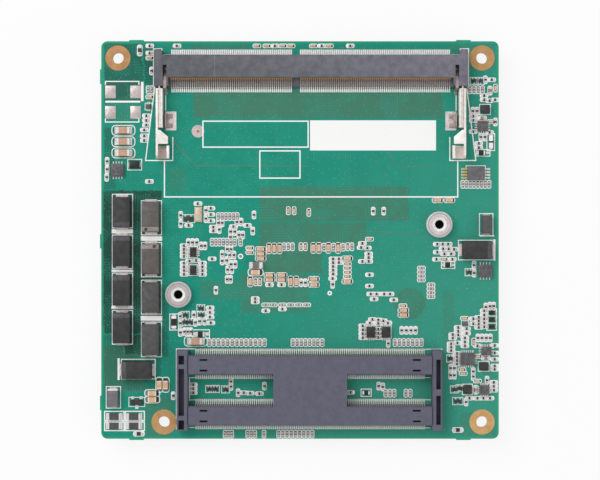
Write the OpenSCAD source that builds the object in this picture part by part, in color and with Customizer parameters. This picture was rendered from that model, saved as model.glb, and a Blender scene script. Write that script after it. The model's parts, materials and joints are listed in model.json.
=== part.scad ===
// System on module: a square computer board lying on its processor side, connector side up.
// X runs along the memory sockets, Y from the board connector towards the sockets, Z up.
// The origin is the middle of the plane the module lies on. All sizes are in millimetres.

/* [Board] */
// Board width along the memory sockets
board_w = 95; // [95:1:125]
// Board depth from connector edge to socket edge
board_d = 95; // [95:1:110]
// Board thickness
board_t = 2.0; // [1.6:0.1:2.4]
// Corner radius of the board
corner_r = 1.5; // [0.5:0.5:3]
// Length of a break-off nub along the edge
nub_l = 3.4; // [2:0.2:5]
// How far a break-off nub stands out from the edge
nub_out = 0.3; // [0.1:0.1:0.5]

/* [Fixing holes] */
// Bore radius of a plated fixing hole
hole_r = 1.35; // [1.1:0.05:1.6]
// Distance of the fixing holes from the board edges
hole_inset = 4.0; // [3.8:0.1:4.6]
// Distance of the lower left fixing hole from the left edge
low_hole_inset = 15.0; // [14.5:0.1:15.4]
// Radius of the copper ring round a fixing hole
ring_r = 3.0; // [2.4:0.1:3.2]
// Thickness of the copper ring and barrel
plating_t = 0.06; // [0.04:0.01:0.1]

/* [Standoffs] */
// Radius of a standoff boss
boss_r = 3.1; // [2.6:0.1:3.3]
// Height of a standoff boss above the board
boss_h = 2.0; // [1:0.1:4]
// Radius of the shank pressed into the board
shank_r = 2.1; // [1.8:0.1:2.3]
// Radius of the threaded hole
thread_r = 1.0; // [0.8:0.05:1.25]
// Depth of the countersink at the mouth
sink_h = 0.6; // [0.3:0.1:0.8]
// Closed end left below the thread
boss_floor = 0.5; // [0.3:0.1:0.8]
// Chamfer on the rim of a boss
boss_c = 0.25; // [0.1:0.05:0.4]

/* [Board connector] */
// Contacts in one row
plug_contacts = 110; // [80:1:110]
// Contact pitch
plug_pitch = 0.5; // [0.4:0.05:0.5]
// Distance between the two plugs
plug_gap = 12.0; // [11.6:0.1:12.4]
// Distance of the lower plug from the board edge
plug_inset = 5.9; // [5.5:0.1:6.2]
// Width of a plug base
plug_base_w = 4.7; // [4.2:0.1:5]
// Height of a plug base
plug_base_h = 1.5; // [1:0.1:2]
// Thickness of the tongue of a plug
tongue_w = 2.4; // [1.6:0.1:3]
// Height of a tongue above the board
tongue_h = 4.0; // [3:0.1:5]
// Distance between the tail tips of one plug
plug_tail_w = 7.0; // [6.4:0.1:7.2]
// Width of a contact
plug_contact_w = 0.2; // [0.14:0.02:0.24]
// Thickness of a contact
plug_contact_t = 0.15; // [0.1:0.01:0.2]
// Thickness of the pick-up cover
cover_t = 0.6; // [0.4:0.1:1]
// Width of a cover band over a plug
cover_band_w = 4.55; // [3.8:0.05:4.6]
// Width of the bridge between the cover bands
cover_bridge_w = 17.4; // [10:0.2:24]
// Width of the left end bar
bar_left_w = 2.7; // [2.2:0.1:3]
// Width of the right end bar
bar_right_w = 2.4; // [2:0.1:2.8]
// Chamfer on the edges of the connector and the sockets
edge_c = 0.25; // [0.1:0.05:0.35]

/* [Memory sockets] */
// Height of a memory socket above the board
socket_h = 4.0; // [3.6:0.1:5.2]
// Contacts to the left of the key
socket_left_n = 58; // [40:1:58]
// Contacts to the right of the key
socket_right_n = 72; // [50:1:72]
// Contact pitch
socket_pitch = 0.5; // [0.4:0.05:0.5]
// Depth of the roof of a socket
roof_d = 5.5; // [4.5:0.1:6]
// Thickness of roof, floor and back wall
socket_wall = 0.75; // [0.6:0.05:0.9]
// How far the floor reaches out in front of the roof
lip_d = 2.0; // [1.4:0.1:2.4]
// Width of a socket contact
socket_contact_w = 0.22; // [0.14:0.02:0.26]
// Thickness of a socket contact
socket_contact_t = 0.15; // [0.1:0.01:0.2]
// Depth of an end block
block_d = 7.4; // [6.5:0.1:8]
// Length of a latch arm from its pivot
latch_l = 17.9; // [16:0.1:18.4]
// Height of a latch arm
latch_h = 3.0; // [2.4:0.1:3.1]
// Sheet thickness of a latch
latch_t = 0.3; // [0.2:0.05:0.4]
// Radius of the rolled root of a latch
root_r = 0.5; // [0.4:0.05:0.55]
// Clearance round the rolled root
root_gap = 0.08; // [0.05:0.01:0.12]

/* [Packages] */
// Height of a moulded capacitor
moulded_h = 2.6; // [1.8:0.1:3]
// Sheet thickness of a folded terminal
fold_t = 0.15; // [0.1:0.01:0.2]
// Height of a leaded chip
leaded_h = 1.1; // [0.8:0.1:1.6]
// Height of a flat chip
flat_h = 0.85; // [0.6:0.05:1.2]
// Height of a small transistor
transistor_h = 0.8; // [0.6:0.05:1.1]
// Height of a fine chip
fine_h = 0.4; // [0.3:0.05:0.55]
// Width of a fine chip
fine_w = 0.5; // [0.4:0.05:0.54]
// Share of a moulded body below its mould line
mould_line = 0.45; // [0.35:0.05:0.6]
// Draft of a moulded side for each millimetre of height
draft = 0.12; // [0.04:0.02:0.2]
// Thickness of the empty solder pads
bare_pad_t = 0.05; // [0.03:0.01:0.1]

/* [Processor side] */
// Processor substrate width
substrate_w = 44; // [36:1:46]
// Processor substrate depth
substrate_d = 25; // [20:1:26]
// Processor substrate thickness
substrate_t = 1.1; // [0.8:0.1:1.4]
// Processor die thickness
die_t = 0.6; // [0.4:0.1:0.8]
// Side of a power inductor
inductor_side = 6.6; // [5:0.1:7]

/* [Hidden] */
$fn = 40;

// Board heights: the roof of the rear socket lies on the ground plane
rear_z = socket_h;
front_z = rear_z + board_t;
edge_x = board_w / 2;
edge_y = board_d / 2;

// Parts outside the core field keep their distance from the nearer edge when the board grows
base_w = 95;
base_d = 95;
grow_x = (board_w - base_w) / 2;
grow_y = (board_d - base_d) / 2;
core_x = 35.2;
core_top = 12;
core_low = -15;
function spread_x(x) = x > core_x ? x + grow_x : x < -core_x ? x - grow_x : x;
function spread_y(y) = y > core_top ? y + grow_y : y < core_low ? y - grow_y : y;

// Fixing holes, standoffs and nubs
top_holes = [for (s = [-1, 1]) [s * (edge_x - hole_inset), edge_y - hole_inset]];
low_holes = [[low_hole_inset - edge_x, hole_inset - edge_y], [edge_x - hole_inset, hole_inset - edge_y]];
holes = concat(top_holes, low_holes);
standoff_left_at = [-29.0, -13.0];
standoff_right_at = [33.2, 3.7];
nub_x = 39.1;
nub_y = [39.1, -0.3, -39.0];
press_gap = 0.02;
cut = 0.1;

// Board connector
plug_x = 2.4;
plug_low_y = plug_inset - edge_y;
plug_high_y = plug_low_y + plug_gap;
plug_half = 28.9;
row_half = (plug_contacts - 1) / 2 * plug_pitch;
tongue_half = row_half + 0.6;
contact_tip = 0.3;
plug_wall_gap = 0.15;
plug_wall_drop = 0.5;
bar_half = plug_gap / 2 + plug_tail_w / 2;
bar_h = tongue_h + cover_t;
bar_slot_depth = 3.0;
bar_slot_out = 0.45;
bar_slot_in = 0.9;
bar_left_slots = [[0.65, 0.87], [-0.63, 0.54], [-0.97, -0.74]];
bar_right_slots = [[0.03, 0.77], [-0.85, -0.13]];
cover_gap = 0.1;
dash_at = [25.2, 1.25];
dash_size = [1.8, 0.4];

// Memory sockets
socket_x = 2.6;
socket_half = 37.2;
socket_back = edge_y - 3.6;
block_w = 3.4;
block_front = socket_back - block_d;
ear_w = 1.9;
ear_d = 1.3;
block_slot_x = [2.1, 3.0];
block_slot_y = [0.5, 5.0];
block_slot_depth = 2.8;
roof_front = socket_back - roof_d;
lip_front = roof_front - lip_d;
foot_lift = socket_contact_t + 0.05;
floor_top = foot_lift + socket_wall;
rise_room = 0.55;
roof_under = socket_h - socket_wall;
beam_z = roof_under - socket_contact_t - 0.15;
beam_tip = roof_front - 0.3;
tail_back = socket_back + 1.5;
tail_front = lip_front - 1.0;
low_beam_l = 4.4;
beam_bend = 0.9;
beam_dip = 0.3;
lead_in = 0.3;
key_x = -0.95;
key_gap = 1.15;
key_w = 1.1;
socket_columns = concat(
    [for (i = [0 : socket_left_n - 1]) key_x - key_gap - i * socket_pitch],
    [for (i = [0 : socket_right_n - 1]) key_x + key_gap + i * socket_pitch]
);

// Latches: the pivot is the rolled root in the end block
root_in = 1.2;
root_back = 0.8;
pivot_y = block_front + root_back;
pivot_left_x = socket_x - socket_half + root_in;
pivot_right_x = socket_x + socket_half - root_in;
pocket_floor = 0.4;
mouth_half = 0.34;
latch_lift = 0.3;
latch_top = latch_lift + latch_h;
arm_half = 0.8;
arm_start = root_back + 0.5;
arm_end = latch_l - 7.3;
catch_start = latch_l - 6.7;
catch_end = latch_l - 3.4;
catch_nose = 2.1;
finger_start = latch_l - 3.1;
finger_x = 2.3;
finger_h = 2.0;
tab_x = [1.2, 2.95];
tab_from = 10.7;
tab_to = 7.4;
tab_v = [latch_l - tab_from, latch_l - tab_to];
tab_h = 1.8;
tab_mouth_r = 0.6;
tab_mouth_x = 2.55;
catch_root = 0.2;
catch_slope = 1.6;
flange_c = 0.6;
bend = 0.3;
bend_in = 0.12;
lip = 0.52;
finger_lip = 0.6;

// Silvery, plastic and copper colours
mask_green = [0.12, 0.58, 0.49];
copper = [0.74, 0.54, 0.33];
tin = [0.78, 0.78, 0.76];
gold = [0.83, 0.68, 0.36];
nickel = [0.80, 0.80, 0.81];
frame_grey = [0.39, 0.38, 0.44];
socket_grey = [0.42, 0.41, 0.45];
moulded_dark = [0.20, 0.20, 0.21];
chip_black = [0.13, 0.13, 0.14];
tan_ceramic = [0.83, 0.64, 0.49];
chip_grey = [0.42, 0.41, 0.40];
fuse_red = [0.62, 0.30, 0.24];

// Chip rows are [x, y, turned, count, step]: turned chips stand along Y and step to the right,
// the others lie along X and step downwards
fine_rows = [
    [-46.1, 18.8, 1], [-46.1, 16.9, 1], [-46.2, 15.0, 1], [-36.0, 14.0, 0], [-35.9, 46.4, 0],
    [-35.9, 44.7, 0], [-35.5, 40.4, 1], [-36.3, 35.9, 1], [-35.5, 35.9, 1], [-36.7, 29.7, 0, 3, 1.1],
    [-37.2, 26.3, 0], [-37.2, 24.9, 0], [-37.2, 23.8, 0], [-29.4, 46.4, 0], [-10.3, 46.4, 0],
    [-7.9, 46.4, 0], [-6.0, 46.4, 0], [-4.1, 46.4, 0], [-2.15, 46.4, 0], [3.2, 46.4, 0],
    [5.2, 46.4, 0], [7.0, 46.4, 0], [12.0, 46.4, 0], [-30.3, -37.2, 1],
    [-24.4, 8.7, 0], [-22.5, 7.1, 1], [-22.5, 5.1, 1], [-21.3, 7.6, 0, 3, 1.5], [-28.5, 5.9, 1],
    [-28.5, 3.9, 1], [-26.6, 3.5, 0], [-19.5, 5.6, 1, 6, 0.9], [-19.5, 4.1, 1, 2, 0.9],
    [-15.1, 4.3, 1, 2, 1.0], [-12.6, 3.5, 0], [-15.9, 3.2, 0], [-20.7, 3.1, 0, 2, 0.9],
    [-19.3, 2.5, 1], [-16.6, 2.0, 1, 2, 1.0], [-16.6, 0.7, 1], [-14.6, 1.2, 1, 2, 0.9],
    [-11.0, 6.0, 1], [-11.3, 2.15, 1], [-21.0, -0.5, 1, 7, 0.9], [-14.2, -0.5, 1],
    [-27.7, -1.35, 0, 4, 0.85], [-27.7, -5.5, 0, 4, 0.9], [-23.3, -5.5, 0, 4, 0.9],
    [-26.7, -0.6, 1, 3, 1.0], [-23.6, -1.4, 1, 2, 0.9], [-26.4, -5.0, 0], [-24.8, -4.9, 0],
    [-21.0, -4.5, 0], [-18.6, -3.4, 1], [-17.4, -2.2, 1, 2, 0.9], [-16.8, -3.6, 1, 2, 1.0],
    [-18.6, -5.0, 1], [-17.5, -4.9, 1], [-16.5, -5.8, 1, 2, 1.0], [-17.3, -7.1, 1, 2, 1.0],
    [-17.4, -9.4, 1, 2, 0.8], [-20.1, -12.0, 1], [-10.7, -14.0, 0, 2, 0.8],
    [-28.6, -18.2, 1], [-28.6, -19.9, 1], [-28.6, -22.1, 1], [-25.4, -17.9, 1], [-25.0, -19.7, 1],
    [-21.5, -16.2, 0, 3, 1.1], [-21.3, -19.8, 0], [-24.0, -19.4, 1], [-22.8, -19.4, 1],
    [-27.6, -21.9, 1, 3, 0.75], [-21.7, -24.5, 1, 13, 1.1], [-1.7, -24.5, 1, 6, 1.0],
    [4.2, -24.5, 1, 2, 1.1], [21.1, -24.7, 1], [22.7, -24.5, 1, 7, 1.05],
    [-3.8, -1.6, 1, 3, 1.0], [5.7, -1.7, 1], [8.0, -1.7, 1], [10.3, -1.7, 1], [12.4, -1.6, 1],
    [-7.3, -10.7, 0], [-4.4, -10.7, 0], [0.3, -10.2, 1, 2, 1.0], [7.9, -4.5, 0, 5, 0.9],
    [9.3, -4.5, 0, 2, 0.9], [7.8, -9.2, 0], [7.8, -10.6, 1], [-8.2, -15.5, 0], [-6.4, -15.5, 0],
    [-4.2, -15.5, 0], [-2.2, -15.5, 0], [-0.3, -15.5, 0], [1.6, -15.5, 0], [-8.2, -16.9, 0],
    [-4.2, -16.5, 0], [17.5, 6.9, 1], [20.0, 6.9, 1], [14.9, -0.8, 0], [14.6, -1.8, 0], [16.1, -1.9, 0],
    [16.4, -3.3, 0, 2, 0.9], [14.9, -5.1, 0], [16.4, -5.1, 0], [16.6, -8.3, 0], [16.6, -11.0, 0],
    [16.9, -12.9, 0], [18.3, -12.9, 0], [20.1, -12.9, 0], [21.5, -12.9, 0], [17.7, -14.1, 0],
    [22.4, -14.3, 0], [29.0, -6.7, 0, 4, 0.95], [31.3, -10.7, 0, 4, 0.95], [15.0, -20.5, 0, 4, 0.95],
    [18.7, -21.3, 0, 3, 1.0], [17.3, -19.0, 0], [18.7, -19.1, 0, 2, 0.8], [19.9, -19.3, 0],
    [16.7, -19.8, 0], [21.0, -19.8, 0], [24.3, -21.6, 1, 4, 1.1],
    [44.3, 38.3, 1], [45.8, 38.3, 0], [40.6, 35.9, 1, 4, 1.0], [44.0, 34.5, 0, 2, 1.0], [45.3, 33.3, 0],
    [46.6, 33.5, 0], [41.3, 30.8, 1, 2, 1.0], [41.4, 29.6, 0, 2, 1.0], [41.4, 25.9, 0], [46.7, 28.2, 1],
    [45.3, 25.7, 0], [43.2, 24.6, 1, 2, 1.0], [42.7, 23.1, 0, 2, 1.0], [38.9, 13.3, 1, 8, 0.9],
    [41.6, -6.0, 1], [41.6, -7.9, 1], [32.8, -1.0, 0], [34.1, -1.0, 0], [35.4, -1.0, 0], [34.2, -2.1, 0],
    [35.5, -2.1, 0], [36.8, -2.2, 0], [32.8, -2.9, 0], [34.5, -3.3, 0], [36.1, -3.3, 0], [32.6, -4.6, 0],
    [36.4, -4.6, 0], [44.4, -16.0, 1], [45.4, -15.8, 1], [46.3, -15.8, 1], [44.0, -16.9, 0],
    [44.0, -17.9, 0, 4, 0.95], [42.7, -18.5, 0, 4, 0.8], [41.4, -18.8, 0], [41.4, -20.0, 0],
    [37.8, -20.9, 0, 3, 0.9], [39.8, -21.2, 0, 2, 1.1], [36.5, -22.6, 0, 2, 0.8], [39.4, -23.4, 0, 3, 0.95],
    [42.5, -23.4, 1, 4, 1.0], [42.4, -25.3, 0], [36.1, -24.8, 0, 3, 0.8], [37.6, -24.6, 0],
    [37.5, -27.1, 0, 4, 0.85], [46.5, -25.2, 0], [46.5, -27.0, 0], [46.5, -28.5, 0], [46.5, -30.1, 0, 2, 0.8],
    [36.0, -30.6, 1], [36.9, -30.6, 1], [36.0, -32.3, 1, 2, 0.9], [41.4, -31.4, 1], [41.4, -32.6, 1],
    [44.7, -33.5, 1], [46.3, -34.0, 0, 3, 0.95], [40.5, -37.8, 0], [42.4, -37.8, 0], [43.8, -37.8, 0],
    [45.4, -37.8, 0], [39.7, -38.7, 1], [-25.5, -34.6, 0, 3, 0.95], [-16.5, -33.8, 1], [-16.5, -35.0, 1],
    [-14.8, -36.5, 1], [-13.4, -36.5, 0], [-11.9, -36.6, 0], [-9.7, -36.7, 0], [-8.5, -34.9, 1],
    [18.8, -34.9, 1], [19.8, -35.1, 1], [20.5, -36.6, 1, 3, 1.0], [25.3, -36.6, 1, 2, 1.05], [12.1, -36.4, 0],
    [-17.9, -46.4, 1, 3, 0.8], [-12.5, -46.4, 1, 3, 0.85], [-8.6, -46.4, 1], [-5.1, -46.4, 1, 9, 1.0]
];
fine_tan_rows = [
    [-35.9, 43.5, 0], [-35.9, 34.2, 0], [-12.0, -1.9, 0, 2, 1.1], [0.2, -1.6, 1, 2, 1.1], [11.4, -1.6, 1],
    [-10.6, -10.0, 1, 2, 1.0], [11.3, -5.7, 0, 4, 1.0], [-2.8, 7.0, 1], [-1.4, 7.0, 1], [2.1, 6.6, 1],
    [16.6, 0.2, 0], [24.6, -15.7, 0], [46.7, 36.3, 1], [45.7, 28.3, 0], [34.4, -4.6, 0], [39.3, -18.7, 0],
    [41.5, -24.4, 1], [42.5, -27.8, 0], [38.7, -31.0, 0], [39.0, -31.9, 0], [42.4, -33.7, 0]
];
small_tan_rows = [
    [-9.4, -2.2, 0, 3, 1.1], [-7.4, -2.0, 1, 3, 1.25], [3.2, -1.9, 1, 2, 1.3], [6.8, -1.9, 1], [9.1, -1.9, 1],
    [-11.9, -9.9, 1], [-7.3, -8.4, 0, 2, 1.1], [-4.4, -8.4, 0, 2, 1.1], [-2.2, -9.9, 1, 2, 1.3],
    [3.3, -9.3, 0, 2, 1.4], [11.3, -4.4, 0], [11.3, -9.9, 0], [32.9, 9.5, 0], [35.7, 9.5, 0],
    [24.7, -16.8, 0, 2, 1.1]
];
mid_tan_rows = [[-33.6, -34.6, 1, 2, 1.5], [-35.3, -36.6, 0, 2, 1.5], [-10.6, -7.7, 0]];
large_tan_rows = [[-42.2, 26.2, 0, 3, 2.7], [-24.9, -24.2, 0]];
large_resistor_rows = [[-44.4, -42.2, 0, 2, 2.2], [-39.7, -42.2, 0, 2, 2.2]];
small_resistor_rows = [[-38.3, 45.3, 1], [-38.5, -46.3, 0], [37.7, -45.4, 0]];
large_bead_rows = [[-10.5, -6.0, 0]];
fuse_rows = [[45.4, 35.7, 1], [43.5, 29.1, 0], [44.4, -28.2, 0], [42.0, -35.8, 1]];

// Chip sizes are [length, width, height], each with the length of an end cap
fine_size = [1.0, fine_w, fine_h];
small_size = [1.6, 0.8, 0.7];
small_cap = 0.3;
mid_size = [2.0, 1.2, 1.0];
mid_cap = 0.35;
large_size = [3.2, 1.6, 1.4];
large_cap = 0.5;
resistor_flat = 0.55;
fuse_size = [1.2, 0.6, 0.5];
fuse_cap = 0.25;

// Two-terminal moulded packages are [x, y, turned, length, width, height]
moulded_size = [7.3, 4.3, moulded_h];
moulded_spots = [
    [-42.5, 6.6, 1], [-42.5, -2.6, 1], [-42.5, -12.0, 1], [-42.5, -20.9, 1], [-35.6, 5.5, 1],
    [-35.6, -4.5, 1], [-35.6, -13.7, 1], [-35.6, -23.7, 1], [-38.9, -31.0, 0], [42.2, -2.4, 0]
];
diode_spots = [
    [-39.5, 18.0, 0, 2.5, 1.7, 1.1], [-44.6, -37.6, 1, 4.3, 2.6, 2.0], [44.5, 3.7, 1, 4.4, 2.4, 2.0],
    [-30.1, -19.6, 1, 3.0, 1.2, 1.0], [-23.8, -22.5, 0, 1.7, 1.2, 0.9], [45.6, 23.4, 1, 3.2, 1.0, 0.9],
    [43.2, 20.8, 0, 1.7, 1.2, 0.9], [35.2, -5.9, 0, 1.7, 1.2, 0.9], [45.8, -17.3, 0, 1.5, 0.9, 0.8],
    [45.8, -19.0, 0, 1.5, 0.9, 0.8], [45.8, -20.7, 0, 1.5, 0.9, 0.8], [15.8, -36.5, 0, 1.6, 0.9, 0.8]
];
fold_share = 0.6;
fold_under = 0.2;

// Transistors are [x, y, width, depth], two leads on the upper side and one below
transistor_spots = [
    [-39.0, -38.7, 2.9, 1.3], [-26.7, 5.1, 2.1, 1.0], [-27.4, -17.9, 1.0, 0.8], [-27.6, -19.6, 1.0, 0.8],
    [-26.3, -19.6, 1.0, 0.8], [-23.6, -17.9, 1.0, 0.8], [-23.7, -16.3, 1.0, 0.8], [41.6, 38.0, 1.0, 0.8],
    [43.1, 38.0, 1.0, 0.8], [40.4, -7.7, 1.0, 0.8], [36.0, -28.3, 1.0, 0.8], [36.9, -35.7, 1.0, 0.8],
    [38.2, -35.4, 1.0, 0.8], [37.7, -38.5, 1.6, 0.8], [-21.6, -35.6, 1.0, 0.8], [-20.2, -35.6, 1.0, 0.8],
    [-17.8, -35.7, 1.0, 0.8]
];
transistor_lead_w = 0.3;
transistor_lead_out = 0.32;
transistor_lead_t = 0.1;
transistor_lift = 0.08;

// Leaded chips are [x, y, turned, length along the leads, width, leads a side, pitch, span]
leaded_spots = [
    [-25.5, -2.9, 1, 2.1, 1.5, 4, 0.5, 2.7], [-25.5, -7.2, 1, 2.1, 1.5, 4, 0.5, 2.7],
    [16.9, -22.0, 0, 2.1, 2.6, 4, 0.5, 3.6], [20.5, -22.0, 0, 2.1, 2.6, 4, 0.5, 3.6],
    [42.0, 15.9, 1, 3.2, 4.1, 4, 0.7, 6.6]
];
lead_t = 0.15;
lead_knee = 0.3;
lead_toe = 0.55;
lead_slant = 0.6;
mould_band = lead_t;
dimple_share = 0.09;
dimple_depth = 0.06;

// Flat chips are [x, y, width, depth, pads on the upper and lower sides, pads on the other sides]
flat_spots = [
    [-43.6, 16.7, 3.0, 3.0, 4, 0], [44.2, -7.4, 3.3, 3.0, 4, 0], [43.6, 27.2, 2.5, 2.4, 4, 4],
    [44.5, -26.5, 2.4, 2.0, 4, 3], [40.0, -28.4, 3.4, 3.0, 6, 5], [44.0, -35.8, 2.3, 2.2, 4, 4],
    [-36.2, 31.9, 1.0, 1.0, 2, 0], [39.4, -20.0, 1.0, 1.0, 2, 0]
];
flat_pad = [0.24, 0.16, 0.2];
choke_spots = [[44.2, 31.2, 2.2, 2.0], [43.9, -30.2, 2.2, 1.9], [40.0, -35.7, 2.0, 2.1]];
choke_h = 1.2;
choke_c = 0.3;
inductor_c = 0.7;
crystal_at = [-24.3, 6.1];
crystal_size = [1.8, 3.6, 0.45];
crystal_rim = 0.2;
crystal_lid_t = 0.3;
bare_pad_spots = [[-45.3, 35.4], [-39.3, 35.4], [-45.3, 30.5], [-39.3, 30.5]];
bare_pad_size = [2.5, 3.0];

// Processor side, placed as seen from the connector side
processor_at = [4, 4];
die_spots = [[-9, 0, 13, 12], [9, 0, 9, 14]];
inductor_spots = [[-34, -34], [-25, -34], [-16, -34], [-7, -34], [2, -34], [11, -34], [20, -34], [29, -34]];
power_chip_x = [-29.5, -11.5, 6.5, 24.5];
power_chip_y = -25;
power_chip_size = [5, 4];
power_chip_h = 0.9;
rear_capacitor_rows = [[-32, -18, 1, 12, 2.2], [8, -18, 1, 10, 2.2], [-36, 10, 0, 8, 2.4], [38, 12, 0, 9, 2.4]];

// Shared shapes
module on_front() {
    translate([0, 0, front_z]) children();
}

module on_rear() {
    translate([0, 0, rear_z]) mirror([0, 0, 1]) children();
}

module block(x, y, z) {
    translate([min(x), min(y), min(z)])
        cube([max(x) - min(x), max(y) - min(y), max(z) - min(z)]);
}

module slab(size, z) {
    translate([-size[0] / 2, -size[1] / 2, z]) cube(size);
}

module at_spot(s) {
    translate([spread_x(s[0]), spread_y(s[1]), 0]) rotate(s[2] == 1 ? 90 : 0) children();
}

// A profile in the Y and Z plane, pulled along X about its middle
module strip(points, width) {
    translate([-width / 2, 0, 0]) rotate([90, 0, 90]) linear_extrude(width) polygon(points);
}

// A profile in the X and Z plane, pulled towards -Y from one distance to another
module pull(points, from, to) {
    translate([0, -from, 0]) rotate([90, 0, 0]) linear_extrude(to - from) polygon(points);
}

// Half width w and height h with both top edges cut away by c
function topped(w, h, c) = [[-w, 0], [w, 0], [w, h - c], [w - c, h], [c - w, h], [-w, h - c]];

// Sides drafted both ways from the band at the mould line
function line_of(h) = h * mould_line;
function drafted(w, h) = let (line = line_of(h), b = mould_band / 2, low = w - (line - b) * draft,
    top = w - (h - line - b) * draft)
    [[-low, 0], [low, 0], [w, line - b], [w, line + b], [top, h], [-top, h], [-w, line + b], [-w, line - b]];

module moulded_body(size, z) {
    translate([0, 0, z]) intersection() {
        strip(drafted(size[1] / 2, size[2]), size[0]);
        rotate(90) strip(drafted(size[0] / 2, size[2]), size[1]);
    }
}

// Upright block with its four corners cut away by c
module cut_corners(size, c) {
    x = size[0] / 2;
    y = size[1] / 2;
    linear_extrude(size[2]) polygon([[-x, c - y], [c - x, -y], [x - c, -y], [x, c - y], [x, y - c],
        [x - c, y], [c - x, y], [-x, y - c]]);
}

// Gull-wing lead: out of the body, down a slant and along the board
function gull(side, foot, top, t) = let (knee = side + (foot - side) * lead_knee,
    toe = side + (foot - side) * lead_toe, in = t * lead_slant)
    [[foot, 0], [foot, t], [toe, t], [knee, top], [side, top], [side, top - t], [knee - in, top - t],
        [toe - in, 0]];

// Dimple in the top of a chip, in the corner of its first contact
module dimple(size, top) {
    r = min(size[0], size[1]) * dimple_share;
    translate([3 * r - size[0] / 2, 3 * r - size[1] / 2, top - dimple_depth]) cylinder(h = cut, r = r);
}

function row_count(r) = len(r) > 3 ? r[3] : 1;
function row_step(r) = len(r) > 3 ? r[4] : 0;
function row_spots(r) = [
    for (i = [0 : row_count(r) - 1])
        r[2] == 1 ? [r[0] + i * row_step(r), r[1], 1] : [r[0], r[1] - i * row_step(r), 0]
];
function all_spots(rows) = [for (r = rows) each row_spots(r)];

module chip_cores(rows, size, cap) {
    for (s = all_spots(rows)) at_spot(s) slab([size[0] - 2 * cap, size[1], size[2]], 0);
}

module whole_chips(rows, size) {
    for (s = all_spots(rows)) at_spot(s) slab(size, 0);
}

module chip_caps(rows, size, cap) {
    for (s = all_spots(rows)) at_spot(s)
        for (e = [-1, 1]) translate([e * (size[0] - cap) / 2, 0, 0]) slab([cap, size[1], size[2]], 0);
}

// Moulded body raised on terminals that fold under its ends
module folded_core(size) {
    moulded_body([size[0], size[1], size[2] - fold_t], fold_t);
}

module folded_ends(size) {
    w = size[1] * fold_share;
    l = size[0] / 2;
    in = l - size[0] * fold_under;
    rise = fold_t + line_of(size[2] - fold_t) + mould_band / 2;
    for (e = [0, 180]) rotate(e) rotate(-90)
        strip([[in, 0], [l + fold_t, 0], [l + fold_t, rise], [l, rise], [l, fold_t], [in, fold_t]], w);
}

function diode_size(s) = [s[3], s[4], s[5]];

// Ring pads on both faces joined by a barrel
module plated_hole() {
    low = -board_t - plating_t;
    wall = hole_r + plating_t;
    rotate_extrude() polygon([[hole_r, low], [ring_r, low], [ring_r, -board_t], [wall, -board_t],
        [wall, 0], [ring_r, 0], [ring_r, plating_t], [hole_r, plating_t]]);
}

module standoff() {
    mouth = thread_r + sink_h;
    foot = -board_t;
    rotate_extrude() polygon([[0, foot], [shank_r, foot], [shank_r, 0], [boss_r, 0], [boss_r, boss_h - boss_c],
        [boss_r - boss_c, boss_h], [mouth, boss_h], [thread_r, boss_h - sink_h], [thread_r, foot + boss_floor],
        [0, foot + boss_floor]]);
}

module plug_housing() {
    wall_w = plug_half - tongue_half - plug_wall_gap;
    translate([plug_x, 0, 0]) {
        strip(topped(plug_base_w / 2, plug_base_h, edge_c), 2 * plug_half);
        strip(topped(tongue_w / 2, tongue_h, edge_c), 2 * tongue_half);
        for (e = [-1, 1]) translate([e * (plug_half - wall_w / 2), 0, 0])
            strip(topped(plug_base_w / 2, tongue_h - plug_wall_drop, edge_c), wall_w);
    }
}

// Tail on the board, up the base, over its shoulder and up the tongue
module plug_contacts() {
    tail = plug_tail_w / 2;
    side = plug_base_w / 2;
    tongue = tongue_w / 2;
    t = plug_contact_t;
    top = tongue_h - contact_tip;
    profile = [[tail, 0], [tail, t], [side + t, t], [side + t, plug_base_h + t], [tongue + t, plug_base_h + t],
        [tongue + t, top], [tongue, top], [tongue, plug_base_h], [side, plug_base_h], [side, 0]];
    for (i = [0 : plug_contacts - 1], e = [0, 180])
        translate([plug_x - row_half + i * plug_pitch, 0, 0]) rotate(e) strip(profile, plug_contact_w);
}

module end_bar(width, slots, inner_x, way) {
    mid = (plug_low_y + plug_high_y) / 2;
    difference() {
        translate([inner_x + way * width / 2, mid, 0])
            pull(topped(width / 2, bar_h, edge_c), -bar_half, bar_half);
        for (s = slots)
            block([inner_x + way * bar_slot_in, inner_x + way * (width - bar_slot_out)],
                [mid + s[0] * bar_half, mid + s[1] * bar_half], [bar_h - bar_slot_depth, bar_h + cut]);
    }
}

module socket_housing() {
    c = edge_c;
    wall = socket_back - socket_wall;
    floor_back = wall - rise_room;
    difference() {
        union() {
            translate([socket_x, 0, 0]) {
                // Roof and back wall, with a lead-in under the front of the roof
                strip([[roof_front, roof_under + lead_in], [roof_front, socket_h - c],
                    [roof_front + c, socket_h], [socket_back - c, socket_h], [socket_back, socket_h - c],
                    [socket_back, foot_lift], [wall, foot_lift], [wall, roof_under],
                    [roof_front + lead_in, roof_under]], 2 * socket_half);
                // Floor with its front edge cut away
                strip([[lip_front, foot_lift], [lip_front, floor_top - c], [lip_front + c, floor_top],
                    [floor_back, floor_top], [floor_back, foot_lift]], 2 * socket_half);
            }
            block([key_x - key_w / 2, key_x + key_w / 2], [roof_front, socket_back - c],
                [foot_lift, socket_h - c]);
            for (s = [0, 1]) at_end(s) end_block();
        }
        for (s = [0, 1]) at_end(s) {
            block(block_slot_x, [block_front + block_slot_y[0], block_front + block_slot_y[1]],
                [socket_h - block_slot_depth, socket_h + cut]);
            translate([root_in, pivot_y, pocket_floor]) {
                cylinder(h = socket_h, r = root_r + root_gap);
                block([-mouth_half, mouth_half], [-root_back - lip_d, 0], [0, socket_h]);
            }
        }
    }
}

// One end of a socket, with X running inwards from its outer side
module at_end(s) {
    translate([socket_x, 0, 0]) mirror([s, 0, 0]) translate([-socket_half, 0, 0]) children();
}

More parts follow.
